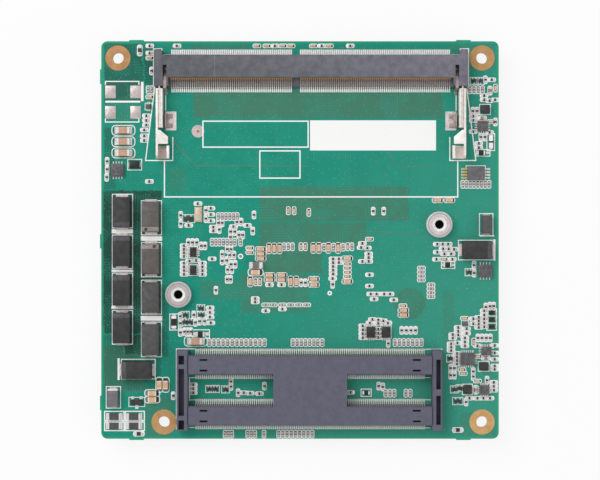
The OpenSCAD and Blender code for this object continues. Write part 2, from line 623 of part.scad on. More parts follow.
// End block and the ear behind it, measured from the outer side
module end_block() {
    c = edge_c;
    ear_back = socket_back + ear_d;
    linear_extrude(socket_h) polygon([[0, block_front + c], [c, block_front], [block_w - c, block_front],
        [block_w, block_front + c], [block_w, socket_back], [ear_w, socket_back], [ear_w, ear_back - c],
        [ear_w - c, ear_back], [c, ear_back], [0, ear_back - c]]);
}

module socket_upper_contacts() {
    t = socket_contact_t;
    wall = socket_back - socket_wall;
    knee = beam_tip + beam_bend;
    dip = beam_z - beam_dip;
    profile = [[tail_back, 0], [tail_back, t], [wall, t], [wall, beam_z + t], [knee, beam_z + t],
        [beam_tip, dip + t], [beam_tip, dip], [knee, beam_z], [wall - t, beam_z], [wall - t, 0]];
    for (x = socket_columns) translate([x, 0, 0]) strip(profile, socket_contact_w);
}

module socket_lower_contacts() {
    t = socket_contact_t;
    tip = lip_front + low_beam_l;
    knee = tip - beam_bend;
    raised = floor_top + beam_dip;
    profile = [[tail_front, 0], [tail_front, t], [lip_front - t, t], [lip_front - t, floor_top + t],
        [knee, floor_top + t], [tip, raised + t], [tip, raised], [knee, floor_top], [lip_front, floor_top],
        [lip_front, 0]];
    for (x = socket_columns) translate([x, 0, 0]) strip(profile, socket_contact_w);
}

// Latch about its pivot: the arm runs towards -Y and its catch towards +X
module latch() {
    t = latch_t;
    b = bend;
    low = latch_lift;
    top = latch_top;
    in = b + bend_in;
    a = arm_half;
    f = finger_x;
    translate([0, 0, pocket_floor + cut / 2]) cylinder(h = top - pocket_floor - cut / 2, r = root_r);
    block([-t / 2, t / 2], [-arm_start - t, 0], [pocket_floor + cut / 2, top]);
    block([-a, a], [-arm_start - t, -arm_start], [low, top]);
    // Folded channel of the arm
    pull([[-a, top], [-a, low + b], [b - a, low], [a - b, low], [a, low + b], [a, top], [a - lip, top],
        [a - lip, top - t], [a - t, top - t], [a - t, low + in], [a - in, low + t], [in - a, low + t],
        [t - a, low + in], [t - a, top - t], [lip - a, top - t], [lip - a, top]], arm_start, arm_end);
    // Outer flange, with its free corners cut away
    translate([t / 2 - a, 0, 0]) strip([[-arm_start, low + b], [flange_c - latch_l, low + b],
        [-latch_l, low + flange_c], [-latch_l, top - flange_c], [flange_c - latch_l, top], [-arm_start, top]], t);
    block([-a, lip - a], [flange_c - latch_l, -arm_start], [top - t, top]);
    // Catch over the edge of a memory card
    translate([0, 0, top - t]) linear_extrude(t)
        polygon([[-a, -catch_start], [catch_root, -catch_start], [catch_nose, -catch_start - catch_slope],
            [catch_nose, -catch_end], [-a, -catch_end]]);
    // Folded finger tab
    pull([[-a, low + b], [b - a, low], [f - b, low], [f, low + b], [f, low + finger_h], [f - finger_lip, low + finger_h],
        [f - finger_lip, low + finger_h - t], [f - t, low + finger_h - t], [f - t, low + in], [f - in, low + t], [in - a, low + t], [t - a, low + in], [t - a, low + flange_c],
        [-a, low + flange_c]], finger_start, latch_l);
}

module left_latch() {
    translate([pivot_left_x, pivot_y, 0]) latch();
}

module right_latch() {
    translate([pivot_right_x, pivot_y, 0]) mirror([1, 0, 0]) latch();
}

// Soldered plate with an open mouth and a stop turned up beside the arm
module hold_down() {
    t = latch_t;
    mid = -(tab_v[0] + tab_v[1]) / 2;
    difference() {
        pull([[tab_x[0], tab_h], [tab_x[0], bend], [tab_x[0] + bend, 0], [tab_x[1], 0], [tab_x[1], t],
            [tab_x[0] + bend + bend_in, t], [tab_x[0] + t, bend + bend_in], [tab_x[0] + t, tab_h]],
            tab_v[0], tab_v[1]);
        translate([tab_mouth_x, mid, -cut]) cylinder(h = t + 2 * cut, r = tab_mouth_r);
        block([tab_mouth_x, tab_x[1] + cut], [mid - tab_mouth_r, mid + tab_mouth_r], [-cut, t + cut]);
    }
}

module hold_downs() {
    translate([pivot_left_x, pivot_y, 0]) hold_down();
    translate([pivot_right_x, pivot_y, 0]) mirror([1, 0, 0]) hold_down();
}

// Sub-parts
module circuit_board() {
    color(mask_green) translate([0, 0, rear_z]) difference() {
        linear_extrude(board_t) union() {
            offset(corner_r) square([board_w - 2 * corner_r, board_d - 2 * corner_r], center = true);
            for (x = [-nub_x, nub_x], e = [-1, 1])
                translate([spread_x(x), e * edge_y]) square([nub_l, 2 * nub_out], center = true);
            for (y = nub_y) translate([-edge_x, spread_y(y)]) square([2 * nub_out, nub_l], center = true);
        }
        for (h = holes) translate([h[0], h[1], -cut])
            cylinder(h = board_t + 2 * cut, r = hole_r + plating_t + press_gap);
        for (s = [standoff_left_at, standoff_right_at]) translate([s[0], s[1], -cut])
            cylinder(h = board_t + 2 * cut, r = shank_r + press_gap);
    }
}

module mounting_hole_plating() {
    color(copper) on_front() for (h = holes) translate([h[0], h[1], 0]) plated_hole();
}

module standoff_left() {
    color(nickel) on_front() translate([standoff_left_at[0], standoff_left_at[1], 0]) standoff();
}

module standoff_right() {
    color(nickel) on_front() translate([standoff_right_at[0], standoff_right_at[1], 0]) standoff();
}

module plug_housing_upper() {
    color(frame_grey) on_front() translate([0, plug_high_y, 0]) plug_housing();
}

module plug_housing_lower() {
    color(frame_grey) on_front() translate([0, plug_low_y, 0]) plug_housing();
}

module plug_contacts_upper() {
    color(tin) on_front() translate([0, plug_high_y, 0]) plug_contacts();
}

module plug_contacts_lower() {
    color(tin) on_front() translate([0, plug_low_y, 0]) plug_contacts();
}

module end_bar_left() {
    color(frame_grey) on_front() end_bar(bar_left_w, bar_left_slots, plug_x - plug_half, -1);
}

module end_bar_right() {
    color(frame_grey) on_front() end_bar(bar_right_w, bar_right_slots, plug_x + plug_half, 1);
}

module pick_up_cover() {
    reach = plug_half - cover_gap;
    band = cover_band_w / 2;
    color(frame_grey) on_front() translate([plug_x, 0, tongue_h]) difference() {
        union() {
            for (y = [plug_low_y, plug_high_y])
                translate([0, y, 0]) strip(topped(band, cover_t, edge_c), 2 * reach);
            block([-cover_bridge_w / 2, cover_bridge_w / 2], [plug_low_y, plug_high_y], [0, cover_t]);
        }
        for (y = [plug_low_y, plug_high_y], e = [-1, 1], f = [-1, 1]) {
            translate([e * dash_at[0], y + f * dash_at[1], -cut])
                slab([dash_size[0], dash_size[1], cover_t + 2 * cut], 0);
        }
    }
}

module memory_socket_housing() {
    color(socket_grey) on_front() socket_housing();
}

module memory_socket_upper_contacts() {
    color(gold) on_front() socket_upper_contacts();
}

module memory_socket_lower_contacts() {
    color(tin) on_front() socket_lower_contacts();
}

module memory_latch_left() {
    color(nickel) on_front() left_latch();
}

module memory_latch_right() {
    color(nickel) on_front() right_latch();
}

module memory_hold_downs() {
    color(nickel) on_front() hold_downs();
}

module rear_socket_housing() {
    color(socket_grey) on_rear() socket_housing();
}

module rear_socket_upper_contacts() {
    color(gold) on_rear() socket_upper_contacts();
}

module rear_socket_lower_contacts() {
    color(tin) on_rear() socket_lower_contacts();
}

module rear_latch_left() {
    color(nickel) on_rear() left_latch();
}

module rear_latch_right() {
    color(nickel) on_rear() right_latch();
}

module rear_hold_downs() {
    color(nickel) on_rear() hold_downs();
}

module moulded_capacitor_bodies() {
    color(moulded_dark) on_front() for (s = moulded_spots) at_spot(s) folded_core(moulded_size);
}

module moulded_capacitor_terminals() {
    color(tin) on_front() for (s = moulded_spots) at_spot(s) folded_ends(moulded_size);
}

module diode_bodies() {
    color(chip_black) on_front() for (s = diode_spots) at_spot(s) folded_core(diode_size(s));
}

module diode_terminals() {
    color(tin) on_front() for (s = diode_spots) at_spot(s) folded_ends(diode_size(s));
}

module transistor_bodies() {
    color(chip_black) on_front() for (s = transistor_spots) at_spot([s[0], s[1], 0])
        moulded_body([s[2], s[3], transistor_h - transistor_lift], transistor_lift);
}

module transistor_leads() {
    top = transistor_lift + line_of(transistor_h - transistor_lift) + transistor_lead_t / 2;
    color(tin) on_front() for (s = transistor_spots) at_spot([s[0], s[1], 0]) {
        side = s[3] / 2;
        profile = gull(side, side + transistor_lead_out, top, transistor_lead_t);
        for (e = [-1, 1]) translate([e * s[2] / 3, 0, 0]) strip(profile, transistor_lead_w);
        rotate(180) strip(profile, transistor_lead_w);
    }
}

module leaded_chip_bodies() {
    color(chip_black) on_front() for (s = leaded_spots) at_spot(s) difference() {
        moulded_body([s[3], s[4], leaded_h - lead_t], lead_t);
        dimple([s[3], s[4]], leaded_h);
    }
}

module leaded_chip_leads() {
    top = lead_t + line_of(leaded_h - lead_t) + lead_t / 2;
    color(tin) on_front() for (s = leaded_spots) at_spot(s) {
        profile = gull(s[4] / 2, s[7] / 2, top, lead_t);
        for (e = [0, 180]) rotate(e) for (i = [0 : s[5] - 1])
            translate([(i - (s[5] - 1) / 2) * s[6], 0, 0]) strip(profile, s[6] / 2);
    }
}

module flat_chip_bodies() {
    color(chip_black) on_front() for (s = flat_spots) at_spot([s[0], s[1], 0]) difference() {
        slab([s[2], s[3], flat_h], 0);
        dimple([s[2], s[3]], flat_h);
    }
}

module pad_row(count, length, out) {
    step = length / (count + 0.5);
    for (i = [0 : 1 : count - 1], e = [-1, 1])
        translate([(i - (count - 1) / 2) * step, e * (out + flat_pad[1] / 2), 0]) slab(flat_pad, 0);
}

module flat_chip_pads() {
    color(tin) on_front() for (s = flat_spots) at_spot([s[0], s[1], 0]) {
        pad_row(s[4], s[2], s[3] / 2);
        rotate(90) pad_row(s[5], s[3], s[2] / 2);
    }
}

module choke_bodies() {
    color(moulded_dark) on_front() for (s = choke_spots) at_spot([s[0], s[1], 0])
        cut_corners([s[2], s[3], choke_h], choke_c);
}

module crystal_base() {
    color(gold) on_front() at_spot([crystal_at[0], crystal_at[1], 0]) slab(crystal_size, 0);
}

module crystal_lid() {
    color(nickel) on_front() at_spot([crystal_at[0], crystal_at[1], 0])
        slab([crystal_size[0] - 2 * crystal_rim, crystal_size[1] - 2 * crystal_rim, crystal_lid_t], crystal_size[2]);
}

module large_ceramic_bodies() {
    color(tan_ceramic) on_front() {
        chip_cores(large_tan_rows, large_size, large_cap);
        chip_cores(mid_tan_rows, mid_size, mid_cap);
    }
}

module small_ceramic_bodies() {
    color(tan_ceramic) on_front() chip_cores(small_tan_rows, small_size, small_cap);
}

// The finest chips are fired in one piece, end caps and all
module fine_ceramics() {
    color(tan_ceramic) on_front() whole_chips(fine_tan_rows, fine_size);
}

module ceramic_terminals() {
    color(tin) on_front() {
        chip_caps(large_tan_rows, large_size, large_cap);
        chip_caps(mid_tan_rows, mid_size, mid_cap);
        chip_caps(small_tan_rows, small_size, small_cap);
    }
}

large_resistor_size = [large_size[0], large_size[1], resistor_flat];
small_resistor_size = [small_size[0], small_size[1], resistor_flat];

module resistor_bodies() {
    color(chip_black) on_front() {
        chip_cores(large_resistor_rows, large_resistor_size, large_cap);
        chip_cores(small_resistor_rows, small_resistor_size, small_cap);
        chip_cores(large_bead_rows, large_size, large_cap);
    }
}

module resistor_terminals() {
    color(tin) on_front() {
        chip_caps(large_resistor_rows, large_resistor_size, large_cap);
        chip_caps(small_resistor_rows, small_resistor_size, small_cap);
        chip_caps(large_bead_rows, large_size, large_cap);
    }
}

module fuse_bodies() {
    color(fuse_red) on_front() chip_cores(fuse_rows, fuse_size, fuse_cap);
}

module fuse_terminals() {
    color(tin) on_front() chip_caps(fuse_rows, fuse_size, fuse_cap);
}

module fine_chips() {
    color(chip_grey) on_front() whole_chips(fine_rows, fine_size);
}

module bare_solder_pads() {
    color(tin) on_front() for (s = bare_pad_spots) at_spot([s[0], s[1], 0])
        slab([bare_pad_size[0], bare_pad_size[1], bare_pad_t], 0);
}

module processor_substrate() {
    color(mask_green) on_rear() at_spot([processor_at[0], processor_at[1], 0])
        slab([substrate_w, substrate_d, substrate_t], 0);
}

module processor_dies() {
    color(chip_grey) on_rear() for (s = die_spots)
        translate([processor_at[0] + s[0], processor_at[1] + s[1], 0]) slab([s[2], s[3], die_t], substrate_t);
}

module rear_power_inductors() {
    color(moulded_dark) on_rear() for (s = inductor_spots) at_spot([s[0], s[1], 0])
        cut_corners([inductor_side, inductor_side, rear_z], inductor_c);
}

module rear_power_chips() {
    color(chip_black) on_rear() for (x = power_chip_x) at_spot([x, power_chip_y, 0])
        slab([power_chip_size[0], power_chip_size[1], power_chip_h], 0);
}

module rear_capacitor_bodies() {
    color(tan_ceramic) on_rear() chip_cores(rear_capacitor_rows, mid_size, mid_cap);
}

module rear_capacitor_terminals() {
    color(tin) on_rear() chip_caps(rear_capacitor_rows, mid_size, mid_cap);
}

circuit_board();
mounting_hole_plating();
standoff_left();
standoff_right();
plug_housing_upper();
plug_housing_lower();
plug_contacts_upper();
plug_contacts_lower();
end_bar_left();
end_bar_right();
pick_up_cover();
memory_socket_housing();
memory_socket_upper_contacts();
memory_socket_lower_contacts();
memory_latch_left();
memory_latch_right();
memory_hold_downs();
rear_socket_housing();
rear_socket_upper_contacts();
rear_socket_lower_contacts();
rear_latch_left();
rear_latch_right();
rear_hold_downs();
moulded_capacitor_bodies();
moulded_capacitor_terminals();
diode_bodies();
diode_terminals();
transistor_bodies();
transistor_leads();
leaded_chip_bodies();
leaded_chip_leads();
flat_chip_bodies();
flat_chip_pads();
choke_bodies();
crystal_base();
crystal_lid();
large_ceramic_bodies();
small_ceramic_bodies();
ceramic_terminals();
fine_ceramics();
resistor_bodies();
resistor_terminals();
fuse_bodies();
fuse_terminals();
fine_chips();
bare_solder_pads();
processor_substrate();
processor_dies();
rear_power_inductors();
rear_power_chips();
rear_capacitor_bodies();
rear_capacitor_terminals();
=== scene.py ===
import bpy
import json
import math
from mathutils import Matrix, Vector

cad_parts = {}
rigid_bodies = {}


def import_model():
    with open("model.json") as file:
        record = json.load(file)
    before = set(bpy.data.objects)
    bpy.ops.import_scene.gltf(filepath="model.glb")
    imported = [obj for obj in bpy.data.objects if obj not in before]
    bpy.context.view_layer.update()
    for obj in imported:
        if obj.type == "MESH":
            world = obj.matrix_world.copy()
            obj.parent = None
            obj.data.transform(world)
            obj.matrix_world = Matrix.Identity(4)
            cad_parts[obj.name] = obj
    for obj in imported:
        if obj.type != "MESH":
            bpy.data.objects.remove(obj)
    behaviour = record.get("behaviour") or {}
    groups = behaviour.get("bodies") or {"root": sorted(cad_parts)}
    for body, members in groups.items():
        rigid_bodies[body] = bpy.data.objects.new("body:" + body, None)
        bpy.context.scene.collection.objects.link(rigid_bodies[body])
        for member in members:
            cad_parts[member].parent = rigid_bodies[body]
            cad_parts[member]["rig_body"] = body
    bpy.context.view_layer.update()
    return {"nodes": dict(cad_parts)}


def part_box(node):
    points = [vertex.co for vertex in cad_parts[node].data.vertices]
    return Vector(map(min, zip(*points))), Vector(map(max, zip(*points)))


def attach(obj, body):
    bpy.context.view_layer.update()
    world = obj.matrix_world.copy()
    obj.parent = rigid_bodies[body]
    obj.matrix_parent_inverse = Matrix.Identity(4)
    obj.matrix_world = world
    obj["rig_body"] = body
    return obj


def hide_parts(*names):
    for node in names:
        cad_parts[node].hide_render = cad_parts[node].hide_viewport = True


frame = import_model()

cadNodes = frame["nodes"]
mm = 0.001
quarter = math.pi / 2
boardLow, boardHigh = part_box("circuit_board")
faceZ = boardHigh.z / mm                            # connector side of the board
backZ = boardLow.z / mm                             # processor side of the board
print("frame loaded:", len(cadNodes), "nodes, board face at", round(faceZ, 2), "mm")


class Wire:
    # one socket of a material, so that shader maths reads as a formula
    def __init__(self, tree, socket):
        self.tree = tree
        self.socket = socket

    def add(self, kind, inputs=None, settings=None, out=0):
        made = self.tree.nodes.new(kind)
        for key, value in (settings or {}).items():
            setattr(made, key, value)
        for key, value in (inputs or {}).items():
            if isinstance(value, Wire):
                self.tree.links.new(value.socket, made.inputs[key])
            else:
                made.inputs[key].default_value = value
        return Wire(self.tree, made.outputs[out])

    def maths(self, operation, first, second=0.0):
        return self.add("ShaderNodeMath", {0: first, 1: second}, {"operation": operation})

    def __add__(self, other): return self.maths("ADD", self, other)
    def __sub__(self, other): return self.maths("SUBTRACT", self, other)
    def __rsub__(self, other): return self.maths("SUBTRACT", other, self)
    def __mul__(self, other): return self.maths("MULTIPLY", self, other)
    def __truediv__(self, other): return self.maths("DIVIDE", self, other)
    def __lt__(self, other): return self.maths("LESS_THAN", self, other)
    def __gt__(self, other): return self.maths("GREATER_THAN", self, other)
    def __abs__(self): return self.maths("ABSOLUTE", self)
    def __mod__(self, other): return self.maths("FLOORED_MODULO", self, other)
    def __or__(self, other): return self.maths("MAXIMUM", self, other)
    def __and__(self, other): return self.maths("MINIMUM", self, other)

    def mapped(self, low, high, to0=0.0, to1=1.0):
        inputs = {0: self, 1: low, 2: high, 3: to0, 4: to1}
        return self.add("ShaderNodeMapRange", inputs, {"interpolation_type": "SMOOTHSTEP"})

    def spread(self, to0, to1):
        # the middle of a noise's range, laid over another range
        return self.mapped(0.3, 0.7, to0, to1)

    def noise(self, scale, detail=3.0, rough=0.5):
        inputs = {"Vector": self, "Scale": scale, "Detail": detail, "Roughness": rough}
        return self.add("ShaderNodeTexNoise", inputs)

    def blend(self, first, second):
        # self is the share of the second colour; a colour is a wire or a code such as "1c927d"
        mix = self.tree.nodes.new("ShaderNodeMix")
        mix.data_type = "RGBA"
        self.tree.links.new(self.socket, mix.inputs[0])
        for socket, value in ((mix.inputs[6], first), (mix.inputs[7], second)):
            if isinstance(value, Wire):
                self.tree.links.new(value.socket, socket)
            else:
                socket.default_value = (*srgb(value), 1)
        return Wire(self.tree, mix.outputs[2])

    def axes(self, wanted="xyz"):
        split = self.tree.nodes.new("ShaderNodeSeparateXYZ")
        self.tree.links.new(self.socket, split.inputs[0])
        return [Wire(self.tree, split.outputs["xyz".index(letter)]) for letter in wanted]


finishes = {}


def newFinish(name, fixed=None):
    # enters a material in the list; gives its shader, constants set, and its Object coordinates in millimetres
    finish = bpy.data.materials.new(name)
    finish.use_nodes = True
    tree = finish.node_tree
    shader = tree.nodes["Principled BSDF"]
    for key, value in (fixed or {}).items():
        shader.inputs[key].default_value = value
    coords = Wire(tree, tree.nodes.new("ShaderNodeTexCoord").outputs["Object"])
    place = coords.add("ShaderNodeVectorMath", {0: coords, "Scale": 1 / mm}, {"operation": "SCALE"})
    finishes[name] = finish
    return shader, place


def feed(shader, colour, rough=None, normal=None, metal=None):
    # joins what varies to the sockets of a shader
    wires = {"Base Color": colour, "Roughness": rough, "Normal": normal, "Metallic": metal}
    for key, wire in wires.items():
        if wire is not None:
            shader.id_data.links.new(wire.socket, shader.inputs[key])


def bumped(height, strength, depth):
    inputs = {"Height": height, "Strength": strength, "Distance": depth * mm}
    return height.add("ShaderNodeBump", inputs)


def srgb(code):
    # a colour as it is seen, turned into the linear numbers that a shader takes
    parts = [int(code[i:i + 2], 16) / 255 for i in (0, 2, 4)]
    return tuple(p / 12.92 if p <= 0.04045 else ((p + 0.055) / 1.055) ** 2.4 for p in parts)


def union(masks):
    # the highest of several masks
    total, *others = masks
    for mask in others:
        total = total | mask
    return total


def awayFrom(x, y, middle):
    # distance from a point of the board
    dx, dy = x - middle[0], y - middle[1]
    return dx.maths("SQRT", dx * dx + dy * dy)


def middleOf(node):
    return sum(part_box(node), Vector()) / 2 / mm


def mottle(place, scale, grain):
    # cloudy noise, fine noise, and the share of the darker shade that the two give
    cloud = place.noise(scale, 4.0, 0.6)
    fine = place.noise(grain, 2.0, 0.55)
    return cloud, fine, (cloud * 0.7 + fine * 0.3).mapped(0.36, 0.64)


# plain finishes: two shades mottled by noise, fine grain as bump, roughness that varies a little;
# one with no metal value is no metal
finishSettings = {
    "tin plate": dict(shades=("e3dfdc", "b9b4b1"), scale=1.6, metal=0.5, rough=(0.28, 0.48), grain=14, bump=0.12),
    "contact gold": dict(shades=("ece0b4", "d4c492"), scale=2.0, metal=0.3, rough=(0.25, 0.4), grain=16, bump=0.06),
    "cream plate": dict(shades=("f8eee4", "e6d6c9"), scale=1.4, metal=0.1, rough=(0.30, 0.46), grain=9, bump=0.10),
    "dull solder": dict(shades=("98a19e", "7e8885"), scale=2.2, metal=0.3, rough=(0.28, 0.44), grain=9, bump=0.20),
    # painted shade: solder that a chip's height shadows
    "solder in painted shade": dict(shades=("3d4744", "2b3432"), scale=2.2, metal=0.3, rough=(0.28, 0.44), grain=9, bump=0.20),
    "carrier laminate": dict(shades=("3f7a5a", "33684b"), scale=0.4, rough=(0.34, 0.50), grain=5, bump=0.06),
    "bright solder": dict(shades=("f6f4f2", "d2cccc"), scale=2.6, metal=0.2, rough=(0.22, 0.42), grain=7, bump=0.25),
    "connector shell": dict(shades=("605f71", "585767"), scale=0.8, rough=(0.44, 0.58), grain=6, bump=0.08),
    "charcoal resin": dict(shades=("373638", "2b2a2c"), scale=0.7, rough=(0.45, 0.66), grain=7, bump=0.22),
    "charcoal band": dict(shades=("525053", "444245"), scale=0.7, rough=(0.45, 0.66), grain=7, bump=0.22),
    "warm grey resin": dict(shades=("625d5a", "534f4d"), scale=0.7, rough=(0.46, 0.64), grain=7, bump=0.20),
    "plain grey resin": dict(shades=("515051", "434243"), scale=0.7, rough=(0.46, 0.64), grain=7, bump=0.20),
    "taupe band": dict(shades=("9a8e89", "857a75"), scale=0.9, rough=(0.48, 0.66), grain=7, bump=0.16),
    "chip resin": dict(shades=("3a393b", "29282a"), scale=1.1, rough=(0.44, 0.62), grain=9, bump=0.18),
    "tan ceramic": dict(shades=("d0a288", "bd9077"), scale=1.0, rough=(0.34, 0.52), grain=9, bump=0.10),
    "golden ceramic": dict(shades=("e4c098", "d3a67e"), scale=1.0, rough=(0.34, 0.52), grain=9, bump=0.10),
    "flat chip resin": dict(shades=("656466", "4b494b"), scale=1.3, rough=(0.36, 0.54), grain=8, bump=0.12),
    "pale plate": dict(shades=("f1eaea", "cfc2c1"), scale=1.2, metal=0.2, rough=(0.28, 0.44), grain=7, bump=0.20),
    "dark ceramic": dict(shades=("3b3634", "211e1d"), scale=1.2, rough=(0.32, 0.5), grain=10, bump=0.08),
    "taupe ceramic": dict(shades=("a5938f", "7f706d"), scale=1.2, rough=(0.32, 0.5), grain=10, bump=0.08),
    "slate ceramic": dict(shades=("807b7c", "6b6768"), scale=0.8, rough=(0.36, 0.54), grain=9, bump=0.12),
    "red glaze": dict(shades=("c08a80", "a5685d"), scale=1.1, rough=(0.28, 0.42), grain=9, bump=0.06),
    "beige lid": dict(shades=("dfccbe", "c8b2a2"), scale=0.9, metal=0.2, rough=(0.30, 0.46), grain=8, bump=0.08),
    "bare silicon": dict(shades=("565b66", "3e424c"), scale=0.2, metal=0.35, rough=(0.10, 0.18), grain=4, bump=0.02),
    "brown shadowed": dict(shades=("b8a8a2", "98877f"), scale=0.8, metal=0.4, rough=(0.34, 0.5), grain=8, bump=0.08),
    "lilac plate": dict(shades=("dacdcc", "bdaeac"), scale=0.9, metal=0.3, rough=(0.30, 0.46), grain=6, bump=0.20),
    "covered track": dict(shades=("55836a", "4a7a62"), scale=0.6, rough=(0.36, 0.46), grain=6, bump=0.05),
    "copper dot": dict(shades=("c18b5c", "a9744a"), scale=1.2, metal=0.4, rough=(0.36, 0.5), grain=8, bump=0.08),
}


def mottled(name):
    s = finishSettings[name]
    shader, place = newFinish(name, {"Metallic": s.get("metal", 0.0)})
    cloud, fine, share = mottle(place, s["scale"], s["grain"])
    feed(shader, share.blend(*s["shades"]), cloud.spread(*s["rough"]), bumped(fine, s["bump"], 0.05))


for name in finishSettings:
    mottled(name)
print("plain finishes made:", len(finishes))

# the board: green mask over copper, with darker pours, strips of painted shade beside the tall parts, fine tracks and
# via dots
boardSettings = dict(
    # deep is the darker green of the painted shade
    # east is the paler teal of painted light towards the right of the board
    teal="1c927d", teal2="178974", east="389580", deep="22463a", pour="447f69",
    rim="2fa578", via="7d8f72", speck="86b8a4", track="2f9f88",
    # left, right, low, high, strength: copper fields that show as a duller green, then the strips of painted shade
    # where tall parts shadow the board
    pours=((-25.6, 34.2, 29.0, 36.2, 0.95), (-9.8, 26.2, 4.3, 13.0, 0.9), (-9.8, 15.9, -1.8, 4.3, 0.9),
           (-9.1, 5.5, -8.0, -1.8, 1.0),
           (-14.3, 2.2, -17.6, -8.0, 0.75), (-31.4, -27.0, 11.5, 17.5, 0.4), (8.0, 24.0, -31.5, -25.6, 0.3),
           (34.0, 37.0, -31.0, -12.0, 0.35),
           (-24.0, -12.0, -14.5, -9.5, 0.5), (-46.8, -38.0, 28.0, 37.4, 0.4), (36.0, 46.8, 40.5, 47.0, 0.5),
           (-47.2, -37.0, -36.5, -25.0, 0.8), (-37.0, -30.4, -47.2, -37.4, 0.7), (38.2, 47.2, -47.2, -41.0, 0.45),
           (-26.0, -12.0, 44.4, 47.2, 0.5)),
    shades=((-47.2, -33.0, -22.5, 12.0, 0.88), (-42.0, -33.0, -27.5, -22.5, 0.9),
            (-47.2, -42.0, -27.5, -22.5, 0.45), (-33.2, -31.2, -28.0, -15.0, 0.35),
            (-46.9, -37.4, 33.0, 47.0, 0.6), (-37.4, -34.4, 37.0, 47.0, 0.6), (-47.0, -44.0, 12.0, 27.0, 0.45),
            (-47.2, -33.0, -36.0, -27.0, 0.35)),
    disc=(26.2, -15.2, 4.0), soft=0.35, shadeDepth=0.3, half=47.5,
    viaPitch=1.25, viaRadius=0.15, trackPitch=0.62,
)


def boardFinish():
    s = boardSettings
    shader, place = newFinish("green solder mask", {"Specular IOR Level": 0.16})
    x, y, z = place.axes()
    wander = place.noise(0.35, 2.0, 0.5)
    ripple = place.noise(0.5, 3.0, 0.6)
    px = x + (wander - 0.5) * 1.6
    py = y + (ripple - 0.5) * 1.2

    def field(left, right, low, high, strength):
        sides = [side.mapped(0, s["soft"]) for side in (px - left, right - px, py - low, high - py)]
        return sides[0] * sides[1] * sides[2] * sides[3] * strength

    pours = union(field(*row) for row in s["pours"])
    shaded = union(field(*row) for row in s["shades"]) * (z > faceZ - s["shadeDepth"])
    disc = awayFrom(x, y, s["disc"]).mapped(s["disc"][2], s["disc"][2] - 0.4)
    pours = pours | (disc * 0.8)
    cloud = place.noise(0.25, 4.0, 0.6)
    fine = place.noise(2.2, 3.0, 0.65)
    colour = (cloud * 0.6 + fine * 0.4).mapped(0.38, 0.66).blend(s["teal"], s["teal2"])
    # painted light: the mask turns a paler teal towards the right and the bottom of the board
    litEastward = (x * 0.02 - y * 0.015 + (cloud - 0.5) * 0.8).mapped(-0.4, 1.2)
    colour = litEastward.blend(colour, s["east"])
    colour = (pours * cloud.mapped(0.2, 0.5, 0.75, 1.0)).blend(colour, s["pour"])
    # painted shade: the strips turn a darker green where tall parts shadow the board
    colour = shaded.blend(colour, s["deep"])
    # tracks: thin lines across, down and aslant, each kept to patches of its own
    lines = []
    for turn, patch in ((0.0, 3.1), (quarter, 7.7), (math.pi / 4, 12.9)):
        along = x * math.sin(turn) + y * math.cos(turn)
        line = abs((along / s["trackPitch"]) % 1.0 - 0.5).mapped(0.30, 0.16)
        moved = place.add("ShaderNodeVectorMath", {0: place, 1: (patch * 9, patch * 5, 0)}, {"operation": "ADD"})
        lines.append(line * moved.noise(0.16, 1.0, 0.4).mapped(0.56, 0.60))
    lines = union(lines)
    colour = (lines * 0.28).blend(colour, s["track"])
    # vias: one dot in some cells of a loose grid
    grid = {"Vector": place, "Scale": 1 / s["viaPitch"], "Randomness": 0.8}
    cells, chance = (place.add("ShaderNodeTexVoronoi", grid, {"voronoi_dimensions": "2D"}, out) for out in (0, 1))
    red, green = chance.axes("xy")
    picked = (red > 0.55) * place.noise(0.09, 2.0, 0.5).mapped(0.44, 0.5)
    dots = cells.mapped(s["viaRadius"] / s["viaPitch"], 0.08) * picked
    colour = (dots * 0.6).blend(colour, s["via"])
    specks = cells.mapped(0.11, 0.06) * (green > 0.8) * (1 - picked)
    colour = (specks * 0.5).blend(colour, s["speck"])
    # the milled edge and the strip along it are paler
    rim = union(abs(way).mapped(s["half"] - 0.7, s["half"] - 0.35) for way in (x, y))
    colour = (rim * 0.55).blend(colour, s["rim"])
    height = lines * 0.5 + pours * 0.25 - dots * 0.6 + ripple * 0.1
    feed(shader, colour, cloud.mapped(0.2, 0.8, 0.34, 0.46) + dots * 0.1, bumped(height, 0.25, 0.03))


def copperRing():
    # bare copper round a fixing hole: brushed round, a little stained, and with painted light that makes the rings
    # paler towards the lower right
    shader, place = newFinish("bare copper ring", {"Metallic": 0.55})
    cloud = place.noise(0.6, 4.0, 0.6)
    fine = place.noise(6.0, 2.0, 0.6)
    x, y = place.axes("xy")
    # painted light: paler copper towards the lower right of the board
    lower = (x * 0.01 - y * 0.01).mapped(-0.8, 0.8)
    colour = lower.blend("ba8d5e", "e0b47a")
    colour = cloud.mapped(0.35, 0.65).blend(colour, lower.blend("ac7f52", "cfa268"))
    colour = (fine.mapped(0.55, 0.8) * 0.35).blend(colour, "96683f")
    feed(shader, colour, cloud.spread(0.38, 0.52), bumped(fine, 0.12, 0.03))


def inkFinish():
    # printed white ink, a little thin at the edges of its strokes
    shader, place = newFinish("white board ink", {"Specular IOR Level": 0.25})
    cloud = place.noise(1.4, 4.0, 0.65)
    fine = place.noise(9.0, 2.0, 0.5)
    colour = (cloud * 0.6 + fine * 0.4).mapped(0.55, 0.8).blend("fbfbfa", "e6ece8")
    feed(shader, colour, fine.spread(0.55, 0.72), bumped(fine, 0.1, 0.02))


# standoffs: pitch of the lathe rings, then distances from the middle
turnedSettings = dict(pitch=0.16, bore=(1.10, 1.02), sink=(1.72, 1.60), groove=2.62, rim=(2.74, 2.86))


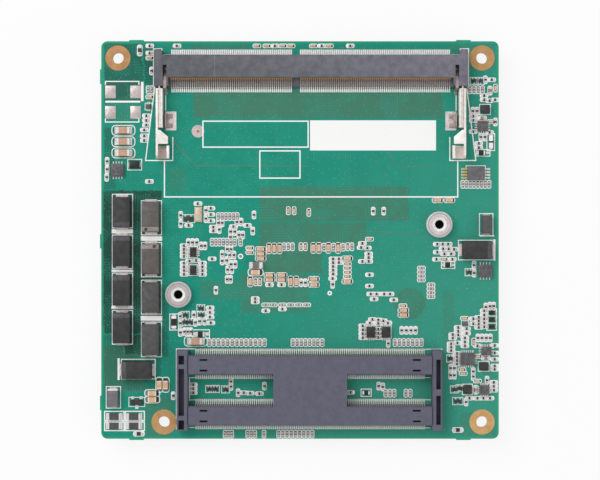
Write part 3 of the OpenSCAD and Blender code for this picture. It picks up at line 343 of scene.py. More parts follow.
def turnedNickel():
    # lathe rings about each standoff's own middle: a pale boss with a painted highlight on its rim and painted shade in
    # its groove, a countersink painted near white as a reflection, and a bore painted black as shade
    shader, place = newFinish("turned nickel")
    x, y = place.axes("xy")
    left, right = (awayFrom(x, y, middleOf(node)) for node in ("standoff_left", "standoff_right"))
    away = left & right
    s = turnedSettings
    rings = abs((away / s["pitch"]) % 1.0 - 0.5)
    cloud = place.noise(1.2, 3.0, 0.6)
    bore = away.mapped(*s["bore"])
    sink = away.mapped(*s["sink"])
    groove = abs(away - s["groove"]).mapped(0.16, 0.05)
    rim = away.mapped(*s["rim"])
    # painted light: the left standoff is painted darker than the right
    shadedWest = (0 - x).mapped(-5, 5)
    light, dark = shadedWest.blend("e6dedf", "c8c1c1"), shadedWest.blend("d3cacb", "b6afaf")
    colour = cloud.mapped(0.35, 0.65).blend(light, dark)
    # painted highlight on the outer rim, painted shade in the groove, painted reflection in the countersink, painted
    # shade in the bore
    colour = (rim * 0.6).blend(colour, "f6f1f1")
    colour = (groove * 0.7).blend(colour, "8f8986")
    colour = sink.blend(colour, "fbfaf8")
    colour = bore.blend(colour, "0d0c0c")
    rough = (cloud * 0.5 + rings * 0.5).mapped(0.2, 0.6, 0.26, 0.44) + bore * 0.4
    feed(shader, colour, rough, bumped(rings, 0.12, 0.02), (1.0 - sink) * 0.35)


# socket contacts: beyond these y they are tails, between the others tips
contactSettings = dict(tails=(36.5, 43.8), tip=(37.9, 39.6))


def socketContact():
    # bright tinned tails, gilded tips at the roof, and the shaded run between them
    shader, place = newFinish("socket contact", {"Metallic": 0.35})
    [y] = place.axes("y")
    (tailLow, tailHigh), (tipLow, tipHigh) = contactSettings["tails"], contactSettings["tip"]
    tail = (tailLow - y).mapped(0, 0.2) | (y - tailHigh).mapped(0, 0.2)
    tip = (y - tipLow).mapped(0, 0.2) * (tipHigh - y).mapped(0, 0.3)
    cloud = place.noise(2.0, 3.0, 0.6)
    colour = cloud.mapped(0.35, 0.65).blend("c2b6b1", "a69a92")
    colour = tip.blend(colour, "d8ad6c")
    colour = tail.blend(colour, "fcfbf9")
    feed(shader, colour, cloud.spread(0.28, 0.44), bumped(cloud, 0.06, 0.02))


# slots of the pick-up cover: distance from the middle along x; then half length, distance from a plug's
# middle and half width, in the cover itself and in what is seen below it
slotSettings = dict(fromCentre=25.2, cover=(0.93, 1.25, 0.22), below=(1.4, 0.0, 2.0))


def slotMask(x, y, halfLength, fromMiddle, halfWidth):
    # the eight short slots of the pick-up cover, two over each end of each plug
    upper, lower = middleOf("plug_housing_upper"), middleOf("plug_housing_lower")
    across = abs(abs(x - upper.x) - slotSettings["fromCentre"])
    along = abs(abs(abs(y - (upper.y + lower.y) / 2) - abs(upper.y - lower.y) / 2) - fromMiddle)
    return (across < halfLength) * (along < halfWidth)


def plugShell():
    # the plugs' own plastic, dark where the cover shuts the light out
    shader, place = newFinish("plug shell")
    x, y, z = place.axes()
    cloud = place.noise(0.8, 3.0, 0.6)
    colour = cloud.mapped(0.35, 0.65).blend("5c5b6a", "4d4c5a")
    covered = (z - (faceZ + 3.3)).mapped(0, 0.3) | slotMask(x, y, *slotSettings["below"])
    colour = covered.blend(colour, "0e0d11")
    feed(shader, colour, cloud.spread(0.46, 0.6), bumped(cloud, 0.08, 0.02))


# latch arms: heights over the board between which painted shade turns the steel brown, and the y where an arm gets slim
latchSettings = dict(deep=(0.9, 0.7), slimFrom=26.9)


def latchSteel():
    # folded spring steel: pale edges and faces, with painted shade turning it brown where it lies deep in the channel
    shader, place = newFinish("latch steel", {"Metallic": 0.15})
    x, y, z = place.axes()
    height = abs(z - (faceZ + backZ) / 2) - (faceZ - backZ) / 2
    deep = height.mapped(*latchSettings["deep"])
    cloud = place.noise(0.9, 3.0, 0.6)
    grain = place.noise(9.0, 2.0, 0.5)
    colour = cloud.mapped(0.35, 0.65).blend("fdf8f4", "ece2db")
    slim = (y - latchSettings["slimFrom"]).mapped(0, 0.3)
    # painted shade in the channel: browner on the left latch, paler on the right latch as painted light, and paler
    # where the arm gets slim
    colour = deep.blend(colour, slim.blend((x > 0).blend("cbb5ac", "ecdcd6"), "e6d6cc"))
    feed(shader, colour, cloud.spread(0.3, 0.46), bumped(grain, 0.08, 0.02))


def coverShell():
    # the cover's plastic, with painted shade: black inside its eight short slots, where no light gets in
    shader, place = newFinish("cover shell")
    x, y = place.axes("xy")
    slot = slotMask(x, y, *slotSettings["cover"])
    cloud, fine, share = mottle(place, 0.8, 6.0)
    colour = share.blend("605f71", "585767")
    # painted shade in the slots
    colour = slot.blend(colour, "08070b")
    feed(shader, colour, cloud.spread(0.44, 0.58) + slot * 0.4, bumped(fine, 0.08, 0.05))


def plugContact():
    # pale feet, and painted shade: black below the slots of the cover, where no light reaches
    shader, place = newFinish("plug contact", {"Metallic": 0.3})
    x, y, z = place.axes()
    shadeBelowSlots = slotMask(x, y, *slotSettings["below"])
    cloud = place.noise(2.2, 3.0, 0.6)
    foot = (faceZ + 0.5 - z).mapped(0, 0.3)
    colour = foot.blend("c9bfae", "f8f6f2")
    colour = (cloud.mapped(0.35, 0.65) * 0.3).blend(colour, "a89f92")
    colour = shadeBelowSlots.blend(colour, "070608")
    feed(shader, colour, cloud.spread(0.28, 0.44) + shadeBelowSlots * 0.4, bumped(cloud, 0.06, 0.02))


# moulded diodes: [x, y, half length of the dark middle along x, along y, reach]; the ends beyond it are plated
diodeSettings = dict(
    plated=((-30.1, -19.6, 9, 0.85, 1.7), (-23.8, -22.5, 0.62, 9, 1.7), (45.6, 23.4, 9, 0.2, 1.7),
            (43.2, 20.8, 0.62, 9, 1.7),
            (35.2, -5.9, 0.62, 9, 1.7), (15.8, -36.5, 0.5, 9, 1.7), (-44.6, -37.75, 9, 1.95, 2.8)),
    grey=((-44.6, -37.6, "77747a"), (44.5, 3.7, "565558")), reach=2.6,
)


def diodeResin():
    s = diodeSettings
    shader, place = newFinish("diode resin")
    x, y = place.axes("xy")
    cloud, fine, share = mottle(place, 1.1, 9.0)
    colour = share.blend("1f1e20", "151416")
    for atX, atY, code in s["grey"]:
        near = (abs(x - atX) < s["reach"]) * (abs(y - atY) < s["reach"])
        colour = (near * cloud.spread(1.0, 0.75)).blend(colour, code)
    ends = []
    for atX, atY, halfX, halfY, reach in s["plated"]:
        dx, dy = abs(x - atX), abs(y - atY)
        ends.append((dx < reach) * (dy < reach) * ((dx > halfX) | (dy > halfY)))
    ends = union(ends)
    colour = ends.blend(colour, "f4f0f0")
    feed(shader, colour, cloud.spread(0.44, 0.62) - ends * 0.15, bumped(fine, 0.16, 0.05))


shellSettings = dict(seamX=-20.2)


def socketShell():
    # moulded grey, with painted shade darker at the left and painted light paler at the right, one faint mould line
    # across the roof and fine scuffs
    shader, place = newFinish("socket shell")
    [x] = place.axes("x")
    cloud, fine, share = mottle(place, 0.5, 5.0)
    # painted light: the grey turns paler towards the right
    east = (x * 0.02).mapped(-0.7, 0.8)
    colour = share.blend(east.blend("626369", "767581"), east.blend("505159", "62616d"))
    seam = abs(x - shellSettings["seamX"]).mapped(0.14, 0.05)
    scuff = place.noise(3.1, 5.0, 0.75).mapped(0.64, 0.72)
    colour = (seam * 0.3 | scuff * 0.35).blend(colour, "9a9ba4")
    feed(shader, colour, cloud.spread(0.40, 0.60), bumped(fine, 0.16, 0.05))


# leaded chips: the wide one begins at this x; the middle and half size of its gilded leads
leadSettings = dict(wideFrom=30.0, gilded=(39.6, 15.9), reach=(1.2, 2.3))


def leadedResin():
    # black resin, greyer on the wide chip at the right
    shader, place = newFinish("leaded resin")
    [x] = place.axes("x")
    cloud, fine, share = mottle(place, 1.1, 9.0)
    wide = x > leadSettings["wideFrom"]
    colour = share.blend(wide.blend("302f31", "706e71"), wide.blend("201f21", "5a585b"))
    feed(shader, colour, cloud.spread(0.40, 0.58), bumped(fine, 0.14, 0.05))


def leadSolder():
    # tinned leads, gilded on the left of the wide leaded chip
    shader, place = newFinish("lead solder", {"Metallic": 0.2})
    x, y = place.axes("xy")
    cloud = place.noise(2.6, 4.0, 0.6)
    (atX, atY), (reachX, reachY) = leadSettings["gilded"], leadSettings["reach"]
    gilded = (abs(x - atX) < reachX) * (abs(y - atY) < reachY)
    colour = cloud.mapped(0.36, 0.64).blend("f6f4f2", "d2cccc")
    colour = gilded.blend(colour, "d8b866")
    feed(shader, colour, cloud.spread(0.22, 0.42), bumped(cloud, 0.2, 0.05))


for make in (socketShell, leadedResin, leadSolder, coverShell, plugContact, diodeResin, boardFinish, copperRing,
             inkFinish, turnedNickel, socketContact, plugShell, latchSteel):
    make()
print("finishes of their own made:", len(finishes) - len(finishSettings))

# which finish each solid wears where no piece stands in for it
nodeFinishes = {
    "circuit_board": "green solder mask", "mounting_hole_plating": "bare copper ring",
    "standoff_left": "turned nickel", "standoff_right": "turned nickel",
    "plug_housing_upper": "plug shell", "plug_housing_lower": "plug shell", "end_bar_left": "connector shell",
    "end_bar_right": "connector shell", "pick_up_cover": "cover shell",
    "plug_contacts_upper": "plug contact", "plug_contacts_lower": "plug contact",
    "memory_socket_housing": "socket shell", "rear_socket_housing": "socket shell",
    "memory_socket_upper_contacts": "socket contact", "rear_socket_upper_contacts": "socket contact",
    "memory_socket_lower_contacts": "socket contact", "rear_socket_lower_contacts": "socket contact",
    "memory_latch_left": "latch steel", "memory_latch_right": "latch steel", "rear_latch_left": "latch steel",
    "rear_latch_right": "latch steel", "memory_hold_downs": "brown shadowed", "rear_hold_downs": "brown shadowed",
    "moulded_capacitor_bodies": "charcoal resin", "moulded_capacitor_terminals": "tin plate",
    "diode_bodies": "diode resin", "diode_terminals": "pale plate",
    "transistor_bodies": "chip resin", "transistor_leads": "bright solder",
    "leaded_chip_bodies": "leaded resin", "leaded_chip_leads": "lead solder", "flat_chip_bodies": "flat chip resin",
    "flat_chip_pads": "bright solder", "choke_bodies": "charcoal resin",
    "crystal_base": "contact gold", "crystal_lid": "beige lid",
    "large_ceramic_bodies": "tan ceramic", "small_ceramic_bodies": "tan ceramic", "fine_ceramics": "tan ceramic",
    "ceramic_terminals": "bright solder", "resistor_bodies": "dark ceramic", "resistor_terminals": "bright solder",
    "fuse_bodies": "red glaze", "fuse_terminals": "bright solder",
    "fine_chips": "dark ceramic", "bare_solder_pads": "lilac plate",
    "processor_substrate": "carrier laminate", "processor_dies": "bare silicon",
    "rear_power_inductors": "warm grey resin",
    "rear_power_chips": "chip resin",
    "rear_capacitor_bodies": "tan ceramic", "rear_capacitor_terminals": "bright solder",
}
for name, solid in cadNodes.items():
    solid.data.materials.clear()
    solid.data.materials.append(finishes[nodeFinishes[name]])
print("solids dressed:", len(cadNodes))


def deselectAll():
    if bpy.context.object and bpy.context.object.mode != "OBJECT":
        bpy.ops.object.mode_set(mode="OBJECT")
    bpy.ops.object.select_all(action="DESELECT")


def only(piece):
    deselectAll()
    piece.select_set(True)
    bpy.context.view_layer.objects.active = piece


def scaled(lengths):
    return [length * mm for length in lengths]


def cubeAt(size, middle, finish):
    # a cube of a size in millimetres, with its place and size in its mesh
    deselectAll()
    bpy.ops.mesh.primitive_cube_add(size=1, location=scaled(middle), scale=scaled(size))
    cube = bpy.context.object
    bpy.ops.object.transform_apply(location=True, rotation=True, scale=True)
    cube.data.materials.append(finish)
    return cube


def editFaces(piece, pick, mode="FACE"):
    # opens a piece in edit mode with the faces, edges or points that pick() chooses by their place
    only(piece)
    bpy.ops.object.mode_set(mode="EDIT")
    bpy.ops.mesh.select_mode(type=mode)
    bpy.ops.mesh.select_all(action="DESELECT")
    bpy.ops.object.mode_set(mode="OBJECT")
    mesh = piece.data
    if mode == "FACE":
        for face in mesh.polygons:
            face.select = bool(pick(face.center / mm, face.normal))
    elif mode == "EDGE":
        for edge in mesh.edges:
            a, b = (mesh.vertices[i].co / mm for i in edge.vertices)
            edge.select = bool(pick(a, b))
    else:
        for point in mesh.vertices:
            point.select = bool(pick(point.co / mm))
    bpy.ops.object.mode_set(mode="EDIT")


def closeEdit():
    bpy.ops.object.mode_set(mode="OBJECT")


def openAll(piece):
    only(piece)
    bpy.ops.object.mode_set(mode="EDIT")
    bpy.ops.mesh.select_all(action="SELECT")


def pulledUp(piece, height):
    # a flat piece drawn up to a thin closed plate
    openAll(piece)
    bpy.ops.mesh.extrude_region_move(TRANSFORM_OT_translate={"value": (0, 0, height * mm)})
    closeEdit()
    return piece


def sheetAt(length, width, middle, turn=0.0):
    # a flat sheet of a size in millimetres, with its place and size in its mesh
    deselectAll()
    bpy.ops.mesh.primitive_plane_add(size=1)
    sheet = bpy.context.object
    sheet.scale = (length * mm, width * mm, 1)
    sheet.rotation_euler.z = turn
    sheet.location = scaled(middle)
    bpy.ops.object.transform_apply(location=True, rotation=True, scale=True)
    return sheet


def discAt(corners, radius, middle, finish, height):
    # a thin round plate
    deselectAll()
    bpy.ops.mesh.primitive_circle_add(
        vertices=corners, radius=radius * mm, fill_type="NGON", location=scaled(middle))
    disc = bpy.context.object
    bpy.ops.object.transform_apply(location=True, rotation=True, scale=True)
    disc.data.materials.append(finish)
    return pulledUp(disc, height)


def cutAcross(piece, place, across):
    # a new line of edges where a plane crosses the piece
    editFaces(piece, lambda c, n: True)
    bpy.ops.mesh.bisect(plane_co=scaled(place), plane_no=across)
    closeEdit()


def climbed(land, rim, pick, move):
    # solder: the top of a land is inset, and its inner points climb the end of the chip
    editFaces(land, lambda c, n: n.z > 0.9)
    bpy.ops.mesh.inset(thickness=rim * mm)
    closeEdit()
    editFaces(land, pick, "VERT")
    bpy.ops.transform.translate(value=scaled(move))
    closeEdit()
    return land


def bevelEdges(piece, width, segments=2, pick=lambda a, b: True):
    editFaces(piece, pick, "EDGE")
    bpy.ops.mesh.bevel(offset=width * mm, segments=segments, affect="EDGES")
    closeEdit()


def joined(name, parts):
    deselectAll()
    for part in parts:
        part.select_set(True)
    bpy.context.view_layer.objects.active = parts[0]
    bpy.ops.object.join()
    parts[0].name = name
    parts[0].data.name = name
    return parts[0]


def solidBoxes(node):
    # the low and high corners, in millimetres, of each separate solid in a node
    mesh = cadNodes[node].data
    keys = [tuple(round(c / mm, 2) for c in point.co) for point in mesh.vertices]
    leader = {key: key for key in keys}

    def root(key):
        while leader[key] != key:
            leader[key] = leader[leader[key]]
            key = leader[key]
        return key

    for face in mesh.polygons:
        first = root(keys[face.vertices[0]])
        for i in face.vertices[1:]:
            leader[root(keys[i])] = first
    groups = {}
    for key in keys:
        groups.setdefault(root(key), []).append(key)
    boxes = []
    for points in groups.values():
        low = Vector([min(p[i] for p in points) for i in range(3)])
        boxes.append((low, Vector([max(p[i] for p in points) for i in range(3)])))
    return sorted(boxes, key=lambda box: (round(box[0].x, 1), round(box[0].y, 1)))


def spotsOf(boxes):
    # middle of each solid, and the quarter turn that lays its long side along x
    return [((low.x + high.x) / 2, (low.y + high.y) / 2, quarter * (high.y - low.y > high.x - low.x))
            for low, high in boxes]


def rideOn(piece, node):
    # the piece goes with the body that carries a solid
    body = cadNodes[node]["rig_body"]
    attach(piece, body)
    return piece


def stamped(pattern, name, spots, base, node):
    # copies of one pattern, each with its own mesh, joined into one piece that rides with a solid
    side = -1 if base < faceZ - 1 else 1
    copies = []
    for number, (x, y, turn) in enumerate(spots):
        twin = bpy.data.objects.new(name, pattern.data.copy())
        bpy.context.collection.objects.link(twin)
        hair = (number % 7) * 0.0012 * side      # no two printed rings in one plane
        place = Matrix.Translation(scaled((x, y, base + hair)))
        twin.data.transform(place @ Matrix.Diagonal((1, 1, side, 1)) @ Matrix.Rotation(turn, 4, "Z"))
        if side < 0:
            twin.data.flip_normals()
        copies.append(twin)
    bpy.data.objects.remove(pattern)
    return rideOn(joined(name, copies), node)


def softened(node, width):
    # a merged copy of a solid with its edges rounded, standing in for it
    piece = bpy.data.objects.new(node + "_soft", cadNodes[node].data.copy())
    bpy.context.collection.objects.link(piece)
    openAll(piece)
    bpy.ops.mesh.remove_doubles(threshold=0.001 * mm)
    bpy.ops.mesh.dissolve_limited(angle_limit=math.radians(1))
    closeEdit()
    bevel = piece.modifiers.new("edges", "BEVEL")
    bevel.width = width * mm
    bevel.segments = 2
    bevel.limit_method = "ANGLE"
    bevel.angle_limit = math.radians(30)
    bevel.use_clamp_overlap = True
    bpy.ops.object.modifier_apply(modifier="edges")
    bpy.ops.object.shade_smooth_by_angle(angle=math.radians(35))
    rideOn(piece, node)
    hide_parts(node)


# small two-ended chips: body, plated ends, solder running down to its lands, printed outline
chipSettings = {
    "fine":  dict(size=(1.0, 0.5, 0.4), cap=0.31, land=(0.52, 0.68), out=0.33, ring=(2.05, 1.06), line=0.2),
    "fine tan": dict(size=(1.0, 0.5, 0.4), cap=0.2, land=(0.52, 0.62), out=0.33, ring=(2.05, 1.06), line=0.2),
    "fuse":  dict(size=(1.2, 0.6, 0.5), cap=0.28, land=(0.55, 0.78), out=0.36, ring=(2.3, 1.2), line=0.17),
    "small": dict(size=(1.6, 0.8, 0.7), cap=0.24, land=(0.72, 0.98), out=0.4, ring=(2.75, 1.35), line=0.22),
    "mid":   dict(size=(2.0, 1.2, 1.0), cap=0.36, land=(0.8, 1.3), out=0.44, ring=(3.8, 1.9), line=0.22),
    "large": dict(size=(3.2, 1.6, 1.4), cap=0.62, land=(1.05, 1.7), out=0.5, ring=(5.7, 2.58), line=0.2),
    "bead":  dict(size=(3.2, 1.5, 1.4), cap=0.85, land=(0.8, 1.4), out=0.08, ring=None, line=0.2),
    "large flat": dict(size=(3.2, 1.6, 0.55), cap=0.5, land=(0.9, 1.7), out=0.4, ring=None, line=0.2),
    "small flat": dict(size=(1.6, 0.8, 0.55), cap=0.36, land=(0.72, 0.98), out=0.4, ring=(2.75, 1.35), line=0.22),
}


def outlineRing(length, width, line):
    # a printed ring with round corners: a sheet, its corners bevelled, inset, its middle taken out, pulled up a hair
    ring = sheetAt(length, width, (0, 0, 0.004))
    ring.data.materials.append(finishes["white board ink"])
    openAll(ring)
    bpy.ops.mesh.bevel(offset=min(length, width) * 0.36 * mm, segments=3, affect="VERTICES")
    bpy.ops.mesh.select_all(action="SELECT")
    bpy.ops.mesh.inset(thickness=line * mm)
    bpy.ops.mesh.delete(type="FACE")
    return pulledUp(ring, 0.008)


# finish of the plated ends, of the solder at the first end and of the solder at the other; on cream chips the other
# end's solder is painted shade, dark where the chip's height shadows it
chipEnds = {
    "bright": ("bright solder", "bright solder", "bright solder"),
    "dull": ("bright solder", "dull solder", "dull solder"),
    "cream": ("cream plate", "dull solder", "solder in painted shade"),
}


def chipPattern(kind, bodyFinish, ends):
    s = chipSettings[kind]
    length, width, height = s["size"]
    capLong, (landLong, landWide) = s["cap"], s["land"]
    plating, firstSolder, otherSolder = (finishes[name] for name in chipEnds[ends])
    bodySize = (length - 2 * capLong + 0.02, width * 0.96, height * 0.94)
    parts = [cubeAt(bodySize, (0, 0, height * 0.47), finishes[bodyFinish])]
    for side, solder in ((-1, firstSolder), (1, otherSolder)):
        cap = cubeAt((capLong, width, height), (side * (length - capLong) / 2, 0, height / 2), plating)
        bevelEdges(cap, min(0.09, width * 0.14), 1)
        # the outer half of the land stays low, the inner half climbs
        middle = side * (length / 2 + s["out"] - landLong / 2)
        land = cubeAt((landLong, landWide, 0.03), (middle, 0, 0.015), solder)
        inner = lambda c: c.z > 0.02 and (c.x - middle) * side < 0 and abs(c.y) < landWide / 2 - 0.02
        climbed(land, 0.05, inner, ((side * length / 2 - middle) * 0.4, 0, height * 0.45))
        parts += [cap, land]
    if s["ring"]:
        parts.append(outlineRing(*s["ring"], s["line"]))
    return joined(kind + "Pattern", parts)


# the finest chips come in three looks, told apart by where they stand: the long rows and some columns hold
# capacitors with a paler core, and a few at the top edge are tan
paleRows = (-24.5, 5.6, -0.5, -46.4, 13.3, -15.5, -1.6, -1.7, -36.6, 35.9)
paleColumns = ((28.9, -11.0, -6.0), (31.3, -15.0, -10.5))
tanPlaces = (-10.4, -7.9, -4.2, -2.1, 3.1, 6.9)


def fineLook(spot):
    x, y, turn = spot
    if y > 45.4 and any(abs(x - place) < 0.4 for place in tanPlaces):
        return "tan"
    inColumn = any(abs(x - place) < 0.4 and low < y < high for place, low, high in paleColumns)
    inRow = any(abs(y - row) < 0.06 for row in paleRows) and (turn or abs(y + 15.5) < 0.06)
    return "pale" if inColumn or inRow else "dark"


fineSpots = {"dark": [], "pale": [], "tan": []}
for spot in spotsOf(solidBoxes("fine_chips")):
    fineSpots[fineLook(spot)].append(spot)


def longSide(box):
    return max(box[1].x - box[0].x, box[1].y - box[0].y)


def tall(box):
    return box[1].z - box[0].z


# the larger ceramics come in two sizes, told apart by their length; so do the flat resistors
largeBoxes = solidBoxes("large_ceramic_bodies")
resistorBoxes = solidBoxes("resistor_bodies")
# name, kind, body, ends, solid that it rides with, places, solids that it stands in for
chipPlan = (
    ("fineChips", "fine", "dark ceramic", "bright", "fine_chips", fineSpots["dark"], ("fine_chips",)),
    ("finePaleChips", "fine", "taupe ceramic", "dull", "fine_chips", fineSpots["pale"], ()),
    ("fineTanChips", "fine tan", "golden ceramic", "cream", "fine_ceramics",
     spotsOf(solidBoxes("fine_ceramics")) + fineSpots["tan"], ("fine_ceramics",)),
    ("smallTanChips", "small", "golden ceramic", "cream", "small_ceramic_bodies",
     spotsOf(solidBoxes("small_ceramic_bodies")), ("small_ceramic_bodies",)),
    ("fuseChips", "fuse", "red glaze", "bright", "fuse_bodies",
     spotsOf(solidBoxes("fuse_bodies")), ("fuse_bodies", "fuse_terminals")),
    ("largeTanChips", "large", "tan ceramic", "bright", "large_ceramic_bodies",
     spotsOf(b for b in largeBoxes if longSide(b) > 1.8), ("large_ceramic_bodies", "ceramic_terminals")),
    ("midTanChips", "mid", "golden ceramic", "cream", "large_ceramic_bodies",
     spotsOf(b for b in largeBoxes if longSide(b) <= 1.8), ()),
    ("largeResistors", "large flat", "plain grey resin", "bright", "resistor_bodies",
     spotsOf(b for b in resistorBoxes if longSide(b) > 1.8 and tall(b) < 1), ("resistor_bodies", "resistor_terminals")),
    ("smallResistors", "small flat", "dark ceramic", "bright", "resistor_bodies",
     spotsOf(b for b in resistorBoxes if longSide(b) <= 1.8), ()),
    ("beadChip", "bead", "slate ceramic", "bright", "resistor_bodies",
     spotsOf(b for b in resistorBoxes if tall(b) > 1), ()),
)
for name, kind, body, ends, node, spots, replaced in chipPlan:
    piece = stamped(chipPattern(kind, body, ends), name, spots, faceZ, node)
    if replaced:
        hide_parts(*replaced)
    print(name, "made:", len(spots), "chips")

# moulded capacitors: drafted sides, rounded edges, a band at the positive end
capacitorSettings = dict(
    size=(7.3, 4.3, 2.45), lift=0.15, draft=(0.955, 0.945, 1), edge=0.14, band=1.25, seam=0.45,
    land=(0.72, 3.0, 0.05), landOut=0.22, climb=0.7, strap=(0.16, 2.8), dot=(-2.95, 1.0, 0.42),
)


def capacitorPattern(body, band, dotted):
    s = capacitorSettings
    length, height = s["size"][0], s["size"][2]
    landWide, landHigh = s["land"][1:]
    bandX = s["band"] - length / 2
    block = cubeAt(s["size"], (0, 0, s["lift"] + height / 2), finishes[body])
    block.data.materials.append(finishes[band])
    cutAcross(block, (0, 0, s["lift"] + height * s["seam"]), (0, 0, 1))
    for up in (1, -1):
        editFaces(block, lambda c, n: n.z * up > 0.9)
        bpy.ops.transform.resize(value=s["draft"])
        closeEdit()
    bevelEdges(block, s["edge"], 2, lambda a, b: (a - b).length > 0.5)
    cutAcross(block, (bandX, 0, 0), (1, 0, 0))
    for face in block.data.polygons:
        if face.center.x < bandX * mm and face.center.z > (s["lift"] + height * 0.9) * mm:
            face.material_index = 1
    only(block)
    bpy.ops.object.shade_smooth_by_angle(angle=math.radians(35))
    parts = [block]
    for side in (-1, 1):
        # the land: a low plate whose inner edge climbs the end of the body
        land = cubeAt(s["land"], (side * (length / 2 + s["landOut"]), 0, landHigh / 2), finishes["pale plate"])
        inner = lambda c: c.z > 0.03 and abs(c.x) < length / 2 + 0.3 and abs(c.y) < landWide / 2 - 0.05
        climbed(land, 0.1, inner, (-side * 0.05, 0, s["climb"]))
        # the terminal: a strip up the end of the body
        strapHigh = s["lift"] + height * 0.5
        strap = cubeAt((*s["strap"], strapHigh), (side * (length / 2 + 0.05), 0, strapHigh / 2), finishes["tin plate"])
        bevelEdges(strap, 0.05, 2)
        parts += [land, strap]
    if dotted:
        x, y, radius = s["dot"]
        parts.append(discAt(20, radius, (x, y, s["lift"] + height), finishes["chip resin"], 0.012))
    return joined("capacitorPattern", parts)


capacitorBoxes = solidBoxes("moulded_capacitor_bodies")
capacitorPlan = {"charcoal": [], "taupe": [], "plain": []}
for low, high in capacitorBoxes:
    x, y = (low.x + high.x) / 2, (low.y + high.y) / 2
    if x < -40:
        capacitorPlan["charcoal"].append((x, y, quarter if y > 3 else -quarter))   # the first stands the other way up
    elif high.x - low.x > high.y - low.y:
        capacitorPlan["charcoal"].append((x, y, 0.0 if x < 0 else math.pi))
    elif y > -8:
        capacitorPlan["taupe"].append((x, y, quarter if y > 0 else -quarter))
    else:
        capacitorPlan["plain"].append((x, y, quarter))
capacitorLooks = {
    "charcoal": ("charcoal resin", "charcoal band", False),
    "taupe": ("warm grey resin", "taupe band", True),
    "plain": ("plain grey resin", "plain grey resin", False),
}
for look, spots in capacitorPlan.items():
    pattern = capacitorPattern(*capacitorLooks[look])
    piece = stamped(pattern, look + "Capacitors", spots, faceZ, "moulded_capacitor_bodies")
    if look == "charcoal":
        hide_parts("moulded_capacitor_bodies", "moulded_capacitor_terminals")
print("capacitors made:", len(capacitorBoxes))

# solids whose own shape is right get rounded edges
softWidths = {
    "memory_socket_housing": 0.10, "rear_socket_housing": 0.10,
    "memory_latch_left": 0.07, "memory_latch_right": 0.07, "rear_latch_left": 0.07, "rear_latch_right": 0.07,
    "memory_hold_downs": 0.06, "rear_hold_downs": 0.06, "diode_bodies": 0.10, "transistor_bodies": 0.07,
    "leaded_chip_bodies": 0.10, "flat_chip_bodies": 0.05, "choke_bodies": 0.14, "rear_power_inductors": 0.35,
    "rear_power_chips": 0.08, "bare_solder_pads": 0.02, "processor_dies": 0.03, "crystal_lid": 0.08,
}
for node, width in softWidths.items():
    softened(node, width)
print("solids softened:", len(softWidths))

